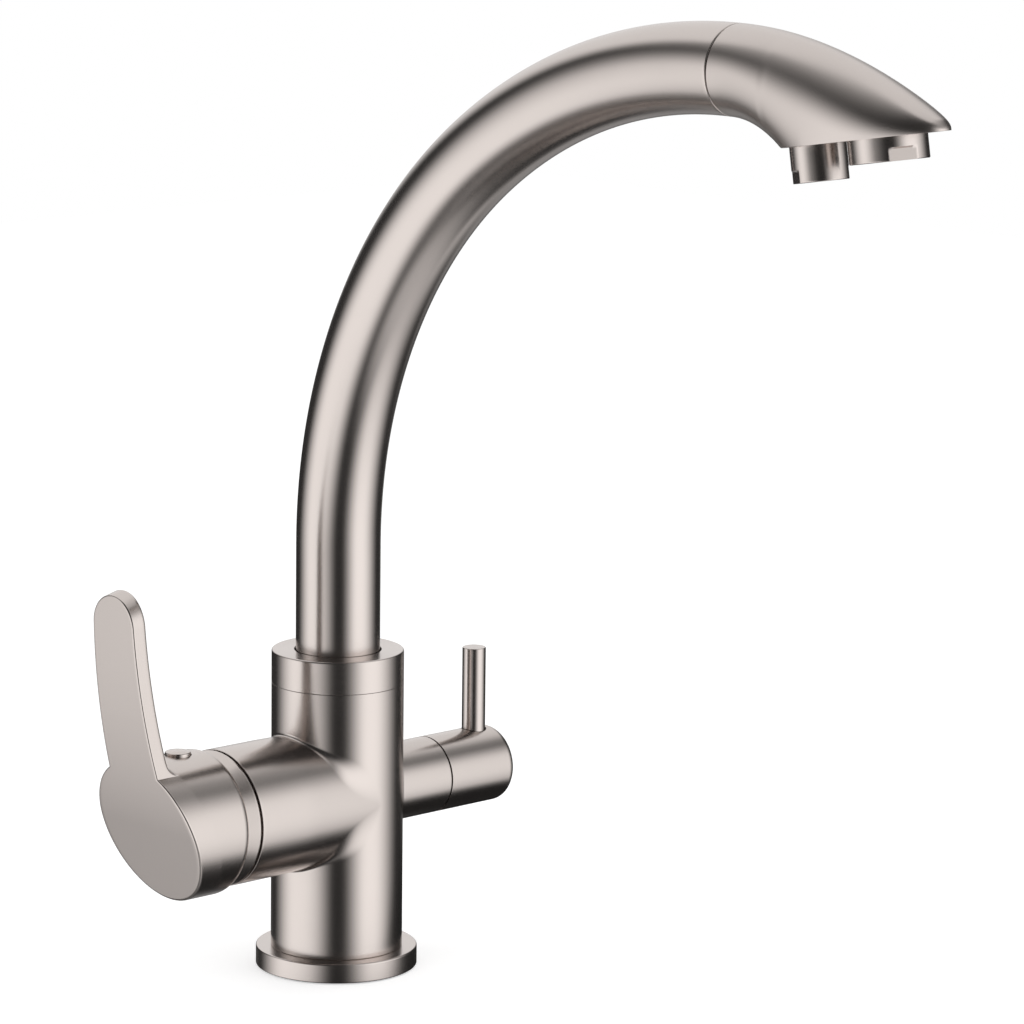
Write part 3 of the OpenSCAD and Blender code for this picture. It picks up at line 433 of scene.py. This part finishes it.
def spout_line():
    """Points (x, z) of the spout's centreline and its angle from upright: a line, two arcs and a line."""
    rise = np.linspace(TUBE_FOOT, BEND_Z, 24, endpoint=False)
    a = np.linspace(0, BEND_A, 56, endpoint=False)
    b = np.linspace(BEND_A, np.pi / 2, 40, endpoint=False)
    length = END_RUN - SEAM_GAP / 2
    out = length - np.array([length, 0.6, 0.32, 0.16, 0.03])
    xs = [0 * rise, BEND_R[0] * (1 - np.cos(a)), END_X - BEND_R[1] * np.cos(b), END_X + out]
    zs = [rise, BEND_Z + BEND_R[0] * np.sin(a), SPOUT_Z - BEND_R[1] * (1 - np.sin(b)), SPOUT_Z + 0 * out]
    return np.concatenate(xs), np.concatenate(zs), np.concatenate([0 * rise, a, b, np.pi / 2 + 0 * out])


def pipe(radius, count=144):
    """Grid of a circle swept along the spout: centre + r (cos q across the bend + sin q along Y)."""
    line_x, line_z, lean = (v[:, None] for v in spout_line())
    q = np.pi + np.linspace(0, 2 * np.pi, count, endpoint=False)
    return np.dstack([line_x - radius * np.cos(q) * np.cos(lean), radius * np.sin(q) + 0 * lean,
                      line_z + radius * np.cos(q) * np.sin(lean)])


# The last rows draw in, so that the tube's rim at the head is rounded.
tube_r = np.full((len(spout_line()[0]), 1), TUBE_R, float)
tube_r[-4:, 0] -= [0, 0.02, 0.1, 0.3]
tube_grid = np.concatenate([pipe(tube_r), pipe(TUBE_BORE)[::-1]])
piece("tube", [patch(tube_grid, across=True)], "spout", "satin_nickel", nickel, "spout_tube")
# Machined brass: bare yellow metal with clear reflections that fine tool marks break up a little.
brass = plain("machined_brass", "#C8A45A", depth=0.06, roughness=0.3, metallic=1, scale=300, bump=0.05)
dress(brass, "spout_spigot")
dress(rubber, "spigot_o_ring_low", "spigot_o_ring_high", "water_tube_o_ring", "head_o_ring")
# Drawn polyethylene: milky white with a touch of blue and a waxy sheen.
milky = plain("drawn_milky_plastic", "#D7E2EA", depth=0.05, roughness=0.38, metallic=0,
              scale=400, bump=0.03)
dress(milky, "filter_water_tube")

# Spout head: a cast brass beak, ground and brushed, pushed on the tube's end. It swells a little, then
# falls to a pointed nose, and its underside sweeps down to a flat plate that carries both outlets.
HEAD_LEN = 83
HEAD_W = 14.5
WIDE_AT = 35.7
NOSE_DROP = 10.6
NOSE_BLUNT = 1.7
NOSE_ROUND = 2.5
NOSE_POWER = 2.5
UNDER_R = 40
UNDER_END = 0.98
SINK_END = 0.87
TILT = np.radians(9.7)
TIP_X = SEAM_X + HEAD_LEN
TIP_Z = SPOUT_Z - NOSE_DROP
EDGE = 0.35
LIP = 0.25


def ramp(value, start, end):
    """Smooth step from 0 at start to 1 at end: t t (3 - 2 t), with t the share of the way."""
    t = np.clip((value - start) / (end - start), 0, 1)
    return t * t * (3 - 2 * t)


def flat_z(x):
    """Height of the flat underside, which slopes up to the nose."""
    return TIP_Z + np.tan(TILT) * (x - TIP_X)


def head_section(x):
    """Half width, top, widest height and depth below it of the head's section at x.

    The top falls with the square of the way to the nose and closes there by a quarter ellipse. The width
    grows by a cosine, then closes as sqrt(1 - t ** NOSE_POWER). Below, a circle of UNDER_R sweeps down and
    goes on straight past UNDER_END of it, and the widest line sinks to the flat.
    """
    d = x - SEAM_X
    span = d / HEAD_LEN
    top = SPOUT_Z + TUBE_R - (TUBE_R + NOSE_DROP - NOSE_BLUNT) * span ** 2
    close_up = np.clip(1 - (HEAD_LEN - d) / NOSE_ROUND, 0, 1)
    top = flat_z(x) + (top - flat_z(x)) * np.sqrt(1 - close_up ** 2)
    grow = TUBE_R + (HEAD_W - TUBE_R) * (1 - np.cos(np.pi * np.minimum(1, d / WIDE_AT))) / 2
    close = HEAD_W * np.sqrt(1 - np.clip((d - WIDE_AT) / (HEAD_LEN - WIDE_AT), 0, 1) ** NOSE_POWER)
    half = np.where(d < WIDE_AT, grow, close)
    way = np.minimum(UNDER_END, d / UNDER_R)
    under = SPOUT_Z - TUBE_R - UNDER_R * (1 - np.sqrt(1 - way ** 2))
    under = under - 60 * np.maximum(0, d / UNDER_R - UNDER_END)
    wide = SPOUT_Z + (flat_z(x) - SPOUT_Z) * ramp(span, 0, SINK_END)
    return half, top, wide, wide - np.maximum(under, flat_z(x) - 40)


# Sections crowd towards the nose. In each, the angle swings from straight below to the corner where the
# flat starts, then to the top: (half cos a, widest + (top or depth) sin a). What lies under the flat is
# laid on it by (g + sqrt(g g + EDGE EDGE)) / 2 of its height g over the flat, which also rounds the corner.
nearing = 1 - (1 - np.linspace(0, 1, 90)) ** 2.1
head_x = np.concatenate([[SEAM_X], SEAM_X + LIP + (HEAD_LEN - LIP - 0.0002) * nearing])[:, None]
half, top, wide, depth = head_section(head_x)
corner = -np.arcsin(np.clip((wide - flat_z(head_x)) / depth, 0, 1))
swing = np.concatenate([-np.linspace(1, 0, 20, endpoint=False) ** 2, np.linspace(0, 1, 44) ** 1.6])
bend = corner + np.where(swing < 0, corner + np.pi / 2, np.pi / 2 - corner) * swing
skin_z = wide + np.where(bend > 0, top - wide, depth) * np.sin(bend)
above_flat = skin_z - flat_z(head_x)
settle = EDGE / 2 * np.exp(-np.maximum(above_flat, 0) / 2)
skin_z = flat_z(head_x) + (above_flat + np.sqrt(above_flat ** 2 + EDGE ** 2)) / 2 - settle
skin_y = half * np.cos(bend)
skin_y[-1] = 0
skin = np.dstack([head_x + 0 * skin_y, skin_y, skin_z])
skin = np.concatenate([skin, (skin * [1, -1, 1])[:, -2:0:-1]], axis=1)
# The seam's edge is broken by LIP. From it a socket of (radius, distance) goes into the tube and the head.
middle_yz = np.array([0, SPOUT_Z])
lip = skin[:1].copy()
lip[..., 1:] = middle_yz + (lip[..., 1:] - middle_yz) * (1 - LIP / TUBE_R)
lip_a = np.arctan2(lip[0, :, 2] - SPOUT_Z, lip[0, :, 1])
socket = np.array([[12.2, 0], [12.2, -8], [10, -8], [10, 26], [0, 26]])
socket = np.dstack([SEAM_X + socket[:, 1:] + 0 * lip_a, socket[:, :1] * np.cos(lip_a),
                    SPOUT_Z + socket[:, :1] * np.sin(lip_a)])
head_grid = np.concatenate([socket[::-1], lip, skin[1:]])
# Ground satin nickel: the same warm grey, but finer, so that its bands are softer and no lines show.
head_nickel = satin("satin_nickel_head", roughness=0.28, spread=0.005, stretch=0.4, relief=0.003)
piece("head", [patch(head_grid)], "spout", "satin_nickel", head_nickel, "spout_head")

# Outlets: two turned nickel sleeves screwed into the head's flat, each with two spanner flats at its lower
# end. The small one gives filtered water through a jet insert, the large one mixed water by an aerator.
FLAT_CUT = 0.9
OUTLET_SIDES = 240


def filled(outline, step, closed=True):
    """The same outline with points added evenly, so that no side is longer than step."""
    following = np.roll(outline, -1, 0) if closed else np.vstack([outline[1:], outline[-1:]])
    counts = np.maximum(1, np.ceil(np.linalg.norm(following - outline, axis=1) / step)).astype(int)
    starts = np.repeat(np.arange(len(outline)), counts)
    t = (np.arange(counts.sum()) - np.repeat(counts.cumsum() - counts, counts)) / counts[starts]
    return outline[starts] + (following - outline)[starts] * t[:, None]


def outlet(name, out_x, radius, length, bore, shelf, turn, node):
    """A turned sleeve with two flats up to shelf: r is at most (R - FLAT_CUT) / |cos(a - turn)| there.

    It is then tilted as the head's flat is and set out_x from the seam.
    """
    outline = filled(rounded([
        (bore - 1, -length, 0.15), (radius, -length, 0.35), (radius, 0, 0.1), (bore + 1, 0, 0.1),
        (bore + 1, 1.5, 0.1), (bore, 1.5, 0.1), (bore, 1 - length, 0.1), (bore - 1, 1 - length, 0.1)]), 0.5)
    grid = turned(outline, OUTLET_SIDES, 0)
    a = np.linspace(0, 2 * np.pi, OUTLET_SIDES, endpoint=False)
    flat = (radius - FLAT_CUT) / np.maximum(0.2, np.abs(np.cos(a - np.radians(turn))))
    r = np.hypot(grid[..., 0], grid[..., 1])
    cut = np.where(grid[..., 2] < shelf - length, np.minimum(r, flat), r) / r
    grid[..., :2] *= cut[..., None]
    x, y, z = np.moveaxis(grid, -1, 0)
    at = SEAM_X + out_x
    placed = np.dstack([at + x * np.cos(TILT) - z * np.sin(TILT), y,
                        flat_z(at) + x * np.sin(TILT) + z * np.cos(TILT)])
    piece(name, [patch(placed, across=True)], "spout", "satin_nickel", nickel, node)


outlet("outlet_filter", out_x=33.03, radius=8.5, length=11, bore=5.8, shelf=3.6, turn=-121,
       node="filter_outlet_housing")
outlet("outlet_mixed", out_x=60.51, radius=11.8, length=7.3, bore=9.2, shelf=3.8, turn=-26,
       node="mixed_outlet_housing")
dress(plastic, "filter_outlet_insert", "mixed_outlet_aerator")
dress(rubber, "filter_outlet_washer", "mixed_outlet_washer")

# Mixer cartridge: a 35 mm plastic shell with two ceramic discs, held in the branch by a brass ring nut. A
# square steel stem tips on a pin in its turning core. The tapered nickel cover ring hides the nut.
dress(plastic, "cartridge_base", "cartridge_body", "cartridge_rotor", "cartridge_disc_carrier")
dress(rubber, "cartridge_port_seals")
dress(brass, "cartridge_nut")
# Ground ceramic: clean white with an even gloss.
ceramic = plain("ground_white_ceramic", "#ECEAE4", depth=0.02, roughness=0.25, metallic=0,
                scale=500, bump=0.02)
dress(ceramic, "cartridge_fixed_disc", "cartridge_moving_disc")
# Drawn stainless steel: cooler and clearer than the nickel, with a faint grain.
steel = plain("drawn_stainless_steel", "#B9B7B3", depth=0.05, roughness=0.28, metallic=1,
              scale=500, bump=0.04)
dress(steel, "stem_pin", "lever_stem")


def mixer_side(grid):
    """Takes a grid turned about Z to the mixer's axis: its height runs along -Y."""
    return np.dstack([grid[..., 0], -grid[..., 2], AXIS_Z + grid[..., 1]])


cover_outline = rounded([
    (14.3, 50.8, 0.1), (19.4, 50.8, 0.1), (19.4, 52.1, 0.1), (22.4, 52.1, 0.12), (22.4, 52.6, 0.15),
    (20.95, 56.8, 0.3), (14.3, 57.6, 0.2)], steps=4)
cover_grid = mixer_side(turned(cover_outline))
piece("cover", [patch(cover_grid, across=True)], "tap", "satin_nickel", nickel, "cover_ring")

# Mixer lever: hub and paddle are one brass casting, brushed and plated, clamped on the stem by a grub screw
# under a push-in nickel plug. The face leans out at the hub, then curves upright along the paddle.
HUB_R = 24
HUB_BACK = 57.1
HUB_ROUND = 3
HUB_EDGE = 0.85
FACE_Y = 80.6
FACE_LEAN = np.radians(19.7)
FACE_R = 241
FACE_TURN = 2
TIP_H = 69.8
TIP_LIFT = 1.1
TIP_R = 10.2
PADDLE_W = 12.3
PADDLE_T = 5.6
PADDLE_EDGE = 0.55
BACK_EDGE = 1.2
ROOT_H = 20.62
ROOT_FILLET = 3
ARC_Y = FACE_R * np.cos(FACE_LEAN) - FACE_Y - np.tan(FACE_LEAN) * FACE_TURN
ARC_H = FACE_TURN + FACE_R * np.sin(FACE_LEAN)


def face_at(h, back=0):
    """Distance of the face along -Y at a height over the axis: a lean, then an arc, set inwards by back."""
    lean = FACE_Y + np.tan(FACE_LEAN) * h - back / np.cos(FACE_LEAN)
    arc = np.sqrt((FACE_R - back) ** 2 - (np.maximum(h, FACE_TURN) - ARC_H) ** 2) - ARC_Y
    return np.where(h < FACE_TURN, lean, arc)


def thickness(x, h):
    """The paddle's thickness. It grows by a quarter circle of ROOT_FILLET where its back meets the hub."""
    rise = np.clip(np.hypot(x, h) - HUB_R, 0, ROOT_FILLET)
    return PADDLE_T + ROOT_FILLET - np.sqrt(ROOT_FILLET ** 2 - (ROOT_FILLET - rise) ** 2)


def both_sides(grid):
    """Closes a half outline's grid with its mirror image in X."""
    return np.concatenate([grid, (grid * [-1, 1, 1])[:, -2:0:-1]], axis=1)


def lever_place(grid):
    """From (across, distance along -Y, height over the axis) to the frame."""
    return np.dstack([grid[..., 0], -grid[..., 1], AXIS_Z + grid[..., 2]])


# Half outline of the front, from the hub's lowest point round to the paddle's tip, with its outward
# normals. The paddle's half width would be PADDLE_W 20 mm over the axis, and narrows to TIP_R. Where it
# leaves the hub the normal is the mitre of both.
SLOPE = np.arctan2(PADDLE_W - TIP_R, TIP_H - 20)
ROOT_A = np.arcsin(ROOT_H / HUB_R)
hub_a = np.linspace(-np.pi / 2, ROOT_A, 90)
tip_a = np.linspace(SLOPE, np.pi / 2, 40)
climb = np.linspace(0, 1, 60)[1:-1] ** 1.6
hub = np.column_stack([HUB_R * np.cos(hub_a), HUB_R * np.sin(hub_a)])
tip = np.column_stack([TIP_R * np.cos(tip_a), TIP_H + TIP_R * np.sin(tip_a)])
flank = hub[-1] + (tip[0] - hub[-1]) * climb[:, None]
lever_outline = np.vstack([hub, flank, tip])
lever_h = lever_outline[:, 1]
lever_a = np.concatenate([hub_a, 0 * climb + SLOPE, tip_a])
normal = np.column_stack([np.cos(lever_a), np.sin(lever_a)])
ROOT = len(hub) - 1
mitre = (ROOT_A - SLOPE) / 2
normal[ROOT] = np.array([np.cos(SLOPE + mitre), np.sin(SLOPE + mitre)]) / np.cos(mitre)

# Front: a flat face of 33 points across, and its edge rounded by a quarter circle.
edge_r = HUB_EDGE - (HUB_EDGE - PADDLE_EDGE) * ramp(lever_h, 8, ROOT_H)
front_t = np.radians(np.linspace(0, 90, 8))[:, None]
front_ring = lever_outline - normal * (edge_r * (1 - np.sin(front_t)))[..., None]
front_d = face_at(front_ring[..., 1]) - edge_r * (1 - np.cos(front_t))
front = np.dstack([front_ring[..., 0], front_d, front_ring[..., 1]])
across = np.linspace(-1, 1, 33)
face = np.dstack([front[0, :, :1] * across, front[0, :, 1:2] + 0 * across, front[0, :, 2:] + 0 * across])

# Side wall down to the paddle's back, whose edge is rounded too, from nothing at the root to BACK_EDGE 14
# points on. Towards the tip the back stands a little higher than the front. Round the hub the wall ends as
# deep as at the root, and the barrel goes on from it.
beyond = np.arange(len(lever_outline)) - ROOT
back_r = BACK_EDGE * np.clip(beyond / 14, 0, 1)
lift = TIP_LIFT * np.clip((lever_h - 60) / 20, 0, 1) ** 2
lever_t = thickness(*lever_outline.T)
root_t = face_at(ROOT_H) - face_at(ROOT_H, lever_t[ROOT])
wall_end = np.where(beyond <= 0, face_at(lever_h) - root_t, face_at(lever_h + lift, lever_t) + back_r)
wall_t = np.concatenate([[0.03], np.linspace(0.15, 1, 7)])[:, None]
wall_d = front[-1, :, 1] + (wall_end - front[-1, :, 1]) * wall_t
wall = np.dstack([lever_outline[:, 0] + 0 * wall_d, wall_d, lever_h + lift * wall_t])
back_t = np.radians(np.linspace(0, 90, 7))[1:, None]
back_ring = lever_outline - normal * (back_r * (1 - np.cos(back_t)))[..., None]
back_ring_h = back_ring[..., 1] + lift
back_ring_d = face_at(back_ring_h, lever_t) + back_r * (1 - np.sin(back_t))
back_ring = np.dstack([back_ring[..., 0], back_ring_d, back_ring_h])
front_grid = both_sides(np.concatenate([front, wall]))
strip = np.concatenate([wall[-1:], back_ring])[:, ROOT:]
strip = np.concatenate([strip, (strip * [-1, 1, 1])[:, -2::-1]], axis=1)

# The paddle's back: rows across it, bowed at the bottom so that they start on the hub's barrel.
back_edge = back_ring[-1, ROOT:]
straighten = np.clip(1 - (back_edge[:, 2:] - ROOT_H) / 17, 0, 1) ** 2
back_x = back_edge[:, :1] * across
bow = np.sqrt(HUB_R ** 2 - (hub[-1, 0] * across) ** 2) - ROOT_H
back_h = back_edge[:, 2:] + bow * straighten
back_grid = np.dstack([back_x, face_at(back_h, thickness(back_x, back_h)), back_h])
back_grid[:, [0, -1], 1] = back_edge[:, 1:2]

# The hub's barrel: from the lower edge of that wall and of the paddle's back to the rounded end and the
# hollow. The plug's hole is let into its top.
BARREL_ROWS = 26
PLUG_Y = -68.5
top_x = back_edge[0, 0] * across[::-1]
top_h = np.sqrt(HUB_R ** 2 - top_x ** 2)
hub_rim = np.column_stack([hub, wall_end[:ROOT + 1]])
top_rim = np.column_stack([top_x, top_h, face_at(top_h, PADDLE_T + ROOT_FILLET)])
barrel_rim = np.concatenate([hub_rim[:-1], top_rim, (hub_rim * [-1, 1, 1])[-2:0:-1]])
barrel_a = np.arctan2(barrel_rim[:, 1], barrel_rim[:, 0])
hub_end = rounded([
    (HUB_R, 70, 0), (HUB_R, HUB_BACK, HUB_ROUND), (20.9, HUB_BACK, 0)], closed=False, steps=10)
hub_end = np.vstack([hub_end[1:-2], [[21, HUB_BACK], [21, 58], [21, 64], [0, 64]]])
barrel_t = np.linspace(0, 1, BARREL_ROWS)[:, None]
barrel_d = barrel_rim[:, 2] + (HUB_BACK + HUB_ROUND + 0.4 - barrel_rim[:, 2]) * barrel_t
barrel_d = np.vstack([barrel_d, np.repeat(hub_end[:, 1:], len(barrel_a), 1)])
barrel_r = np.concatenate([np.full(BARREL_ROWS, float(HUB_R)), hub_end[:, 0]])[:, None]
barrel = lever_place(np.dstack([barrel_r * np.cos(barrel_a), barrel_d, barrel_r * np.sin(barrel_a)]))
middle = ROOT + len(across) // 2
plug_rows = [int(np.argmin(np.abs(barrel[:BARREL_ROWS, middle, 1] - PLUG_Y - d))) for d in (-5.6, 5.6)]
plug_window = (*plug_rows, middle - 8, middle + 8)
plug_hole = pocket(barrel, plug_window, np.array([0, PLUG_Y]), 4.45,
                   lambda x, y: AXIS_Z + np.sqrt(HUB_R ** 2 - x ** 2), AXIS_Z + 20)
lever_patches = [
    patch(lever_place(face), around=False, lengthwise=True),
    patch(lever_place(front_grid), lengthwise=True), patch(lever_place(strip), around=False),
    patch(lever_place(back_grid), around=False, lengthwise=True),
    patch(barrel, windows=[plug_window]), plug_hole]
piece("lever", lever_patches, "mixer_lift", "satin_nickel", nickel, "mixer_lever")
plug_outline = rounded([
    (0, 71.2, 0), (4.25, 71.2, 0.2), (4.25, 83.05, 0.45), (2.2, 83.45, 1), (0, 83.55, 0)], closed=False)
plug = turned(plug_outline, 64) + [0, PLUG_Y, 0]
piece("plug", [patch(plug)], "mixer_lift", "satin_nickel", nickel, "lever_plug")
dress(steel, "lever_grub_screw")

# Filter valve: a brass quarter-turn headwork with two ceramic discs, screwed into the filter branch.
# Its spindle is kept by a steel clip and sealed by rubber rings.
dress(brass, "valve_headwork", "valve_spindle")
dress(rubber, "valve_o_ring", "valve_seat_seal", "spindle_o_ring")
dress(ceramic, "valve_fixed_disc", "valve_moving_disc")
dress(steel, "spindle_clip", "handle_grub_screw")

# Filter handle: a turned nickel cap on the spindle, with a rounded outer edge. An upright pin stands in a
# counterbore on its top, so a fine dark gap shows round the pin's foot.
CAP_START = 40.6
CAP_END = 70
ROD_Y = 61.7
ROD_R = 4
ROD_TOP = 99.4
cap_outline = filled(rounded([
    (0, CAP_END, 0), (FILTER_R, CAP_END, 3), (FILTER_R, CAP_START, 0.08), (10.6, CAP_START, 0.2),
    (10.6, 52, 0.3), (0, 52, 0)], closed=False, steps=10), 1.2, closed=False)
cap = turned(cap_outline, ROUND, np.pi)
cap = np.dstack([cap[..., 0], cap[..., 2], AXIS_Z - cap[..., 1]])
outside = np.nonzero(np.abs(cap_outline[:, 0] - FILTER_R) < 1e-6)[0]
rod_rows = [outside[np.argmin(np.abs(cap_outline[outside, 1] - row_y))] for row_y in (66.9, 56.4)]
rod_window = (*rod_rows, ROUND // 4 - 22, ROUND // 4 + 22)
rod_hole = pocket(cap, rod_window, np.array([0, ROD_Y]), ROD_R + 0.4,
                  lambda x, y: AXIS_Z + np.sqrt(FILTER_R ** 2 - x ** 2), AXIS_Z + 10.5)
cap_patches = [patch(cap, windows=[rod_window]), rod_hole]
piece("handle", cap_patches, "filter_turn", "satin_nickel", nickel, "filter_handle")
rod_outline = rounded([
    (0, 61.2, 0), (2.45, 61.2, 0.2), (2.45, 68.7, 0.2), (ROD_R, 68.7, 0.2), (ROD_R, ROD_TOP, 0.35),
    (0, ROD_TOP, 0)], closed=False)
rod = turned(rod_outline, 96) + [0, ROD_Y, 0]
piece("rod", [patch(rod)], "filter_turn", "satin_nickel", nickel, "handle_rod")

# Studio: a white table under two soft boxes in a white room. A tent of black and white cloth, which only
# reflections see, gives the nickel its bands. From here on lengths are in metres, and directions are in
# degrees right of the camera and above the level.
FRONT = 48.77
FLOOR = 1.6
FLOOR_Z = -4e-4
TENT_R = 4
# Depth under the table top of the dark sheet that paints the tap's shadow into reflections.
SHADOW_SHEET_Z = -0.02


def stage_mesh(name, points, faces, material):
    """A plain mesh of the studio."""
    mesh = bpy.data.meshes.new(name)
    mesh.from_pydata(points, [], faces)
    mesh.materials.append(material)
    made = bpy.data.objects.new(name, mesh)
    bpy.context.scene.collection.objects.link(made)
    return made


# Painted table: matt white with a faint mottle of 330 mm, and light enough to vanish into the room.
table, tree = new_material("white_table")
place = add(tree, "ShaderNodeTexCoord", {})
mottle = add(tree, "ShaderNodeTexNoise", {"Vector": place.outputs["Object"], "Scale": 3})
tone = add(tree, "ShaderNodeMapRange", {"Value": mottle.outputs["Fac"], "To Min": 0.98, "To Max": 1})
paint = add(tree, "ShaderNodeHueSaturation", {"Color": srgb("#E7E7E7"), "Value": tone.outputs["Result"]})
matt = add(tree, "ShaderNodeBsdfDiffuse", {"Color": paint.outputs["Color"]})
glow = add(tree, "ShaderNodeEmission", {"Color": srgb("#FFFFFF"), "Strength": 0.5})
light = add(tree, "ShaderNodeAddShader", {0: matt.outputs["BSDF"], 1: glow.outputs["Emission"]})
add(tree, "ShaderNodeOutputMaterial", {"Surface": light.outputs["Shader"]})
floor_corners = [(-FLOOR, -FLOOR, FLOOR_Z), (FLOOR, -FLOOR, FLOOR_Z), (FLOOR, FLOOR, FLOOR_Z),
                 (-FLOOR, FLOOR, FLOOR_Z)]
floor = stage_mesh("table", floor_corners, [(0, 1, 2, 3)], table)
floor.visible_glossy = False


def reflected_sheet(name, grid, level, material):
    """A sheet from a grid that only reflections see. Its material reads the level of each point."""
    points, quads = patch(grid, around=False)[:2]
    made = stage_mesh(name, points.tolist(), quads.tolist(), material)
    made.data.attributes.new("level", "FLOAT", "POINT").data.foreach_set("value", level.ravel())
    for kind in ("camera", "diffuse", "shadow", "transmission", "volume_scatter"):
        setattr(made, "visible_" + kind, False)


def facing(az, el):
    """Unit vector of a direction, az right of the camera and el above the level, in the frame."""
    a, e = np.radians(az + FRONT), np.radians(el)
    return np.stack([np.sin(a) * np.cos(e), -np.cos(a) * np.cos(e), np.sin(e)], -1)


def tent_level(az, el):
    """Brightness of the tent: the brightest of its screens, each a product of the ramps of its soft edges.

    They are a left and a right screen, the room behind and above, the table below, and the table far
    behind, which shows on the inside of the arch.
    """
    top = np.clip(24 - 0.62 * (az + 88), -4, 24)
    left = 1.2 * ramp(az, 16 * ramp(el, -25, 5) - 142, -80) * ramp(az, -4, -46)
    left = left * ramp(el, -62, -36) * ramp(el, top + 20, top - 18)
    right = 1.3 * ramp(az, 9, 54) * ramp(az, 128, 66) * ramp(el, -100, -8) * ramp(el, 58, 18)
    behind = az % 360
    slant = 189 + 1.2 * np.clip(el, -10, 62)
    high = np.clip(el - 25, 0, 30)
    back = ramp(behind, 148 - 2.5 * high, 178 - 1.05 * high) * ramp(behind, slant + 16, slant - 14)
    back = 0.88 * back * ramp(el, -24, 12)
    above = 0.75 * ramp(el, 25, 80) * ramp(behind, 315, 255) * ramp(behind, 10, 90)
    side = ramp(az, -40, 20) * ramp(az, 185, 140)
    below = (0.22 + 0.38 * side) * ramp(el + 45 - 17 * side, 0, -32)
    far = 0.3 * ramp(behind, 138, 156) * ramp(behind, 214, 198) * ramp(el, -13, -24) * ramp(el, -66, -50)
    return 0.03 + np.maximum.reduce([left, right, back, above, below, far])


# Tent cloth: it glows as bright as its level, from black to more than white.
tent, tree = new_material("tent_cloth")
shade = add(tree, "ShaderNodeAttribute", {}, attribute_name="level")
shine = add(tree, "ShaderNodeEmission", {"Color": srgb("#FFFFFF"), "Strength": shade.outputs["Fac"]})
add(tree, "ShaderNodeOutputMaterial", {"Surface": shine.outputs["Emission"]})
az, el = np.meshgrid(np.linspace(-180, 180, 181), np.linspace(-90, 90, 91))
reflected_sheet("tent", TENT_R * facing(az, el), tent_level(az, el), tent)

# Painted shadow: a dark sheet that only reflections see stands in for the tap's shadow on the table. It
# gives nearly no light in the middle and fades out to nothing at its rim. It lies along both branches and
# behind them, just under the table top, so their undersides show painted shade.
shadow_sheet_material, tree = new_material("painted_shadow_sheet")
shadow_fade_attr = add(tree, "ShaderNodeAttribute", {}, attribute_name="level")
shadow_glow = add(tree, "ShaderNodeEmission", {"Color": srgb("#FFFFFF"), "Strength": 0.02})
clear = add(tree, "ShaderNodeBsdfTransparent", {})
mixed = add(tree, "ShaderNodeMixShader", {
    0: shadow_fade_attr.outputs["Fac"], 1: shadow_glow.outputs["Emission"], 2: clear.outputs["BSDF"]})
add(tree, "ShaderNodeOutputMaterial", {"Surface": mixed.outputs["Shader"]})
shadow_x, shadow_y = np.meshgrid(np.linspace(-0.185, 0.115, 61), np.linspace(-0.11, 0.27, 77))
along_off = np.hypot(shadow_x - 0.02, np.maximum(0, np.abs(shadow_y - 0.05) - 0.06))
behind_off = np.hypot(shadow_x + 0.07, shadow_y - 0.15)
shadow_fade = ramp(along_off, 0.028, 0.09) * ramp(behind_off, 0.05, 0.105)
shadow_grid = np.dstack([shadow_x, shadow_y, 0 * shadow_x + SHADOW_SHEET_Z])
reflected_sheet("painted_table_shadow", shadow_grid, shadow_fade, shadow_sheet_material)


def soft_box(name, side, up, distance, size, radiance):
    """An area lamp aimed at the tap; its power is radiance x pi x area."""
    lamp = bpy.data.lights.new(name, "AREA")
    lamp.shape = "RECTANGLE"
    lamp.size, lamp.size_y = size
    lamp.energy = radiance * np.pi * size[0] * size[1]
    made = bpy.data.objects.new(name, lamp)
    bpy.context.scene.collection.objects.link(made)
    back = facing(side, up)
    right = facing(side + 90, 0)
    turn = Matrix(np.column_stack([right, np.cross(back, right), back]).tolist()).to_4x4()
    made.matrix_world = Matrix.Translation(back * distance + [0, 0, 0.15]) @ turn
    made.visible_glossy = False


soft_box("soft_left", side=-68, up=40, distance=1.8, size=(1.6, 1.6), radiance=1.1)
soft_box("soft_right", side=62, up=40, distance=1.8, size=(1.6, 1.6), radiance=1.1)

# White room: white to the camera and in reflections, and a softer light on everything else.
room = bpy.data.worlds.new("white_room")
bpy.context.scene.world = room
room.use_nodes = True
tree = room.node_tree
tree.nodes.clear()
path = add(tree, "ShaderNodeLightPath", {})
looked = add(tree, "ShaderNodeMath", {
    0: path.outputs["Is Camera Ray"], 1: path.outputs["Is Glossy Ray"]}, operation="ADD")
seen = add(tree, "ShaderNodeMath", {
    0: looked.outputs["Value"], 1: path.outputs["Is Transmission Ray"]}, operation="ADD")
white = add(tree, "ShaderNodeMapRange", {"Value": seen.outputs["Value"], "To Min": 0.6, "To Max": 1})
walls = add(tree, "ShaderNodeBackground", {"Color": srgb("#FFFFFF"), "Strength": white.outputs["Result"]})
add(tree, "ShaderNodeOutputWorld", {"Surface": walls.outputs["Background"]})

# Camera: the photo's own view, found from the tap's measured edges.
lens = bpy.data.cameras.new("camera")
lens.lens = 171.22
lens.sensor_width = 36
camera = bpy.data.objects.new("camera", lens)
bpy.context.scene.collection.objects.link(camera)
camera.matrix_world = Matrix(((0.68424078, -0.14390641, 0.71491643, 1.18838615),
                              (0.72915903, 0.11900505, -0.67391759, -1.04159974),
                              (0.0119024, 0.98240966, 0.18635877, 0.45383602), (0, 0, 0, 1)))
bpy.context.scene.camera = camera
bpy.context.scene.view_settings.view_transform = "Standard"
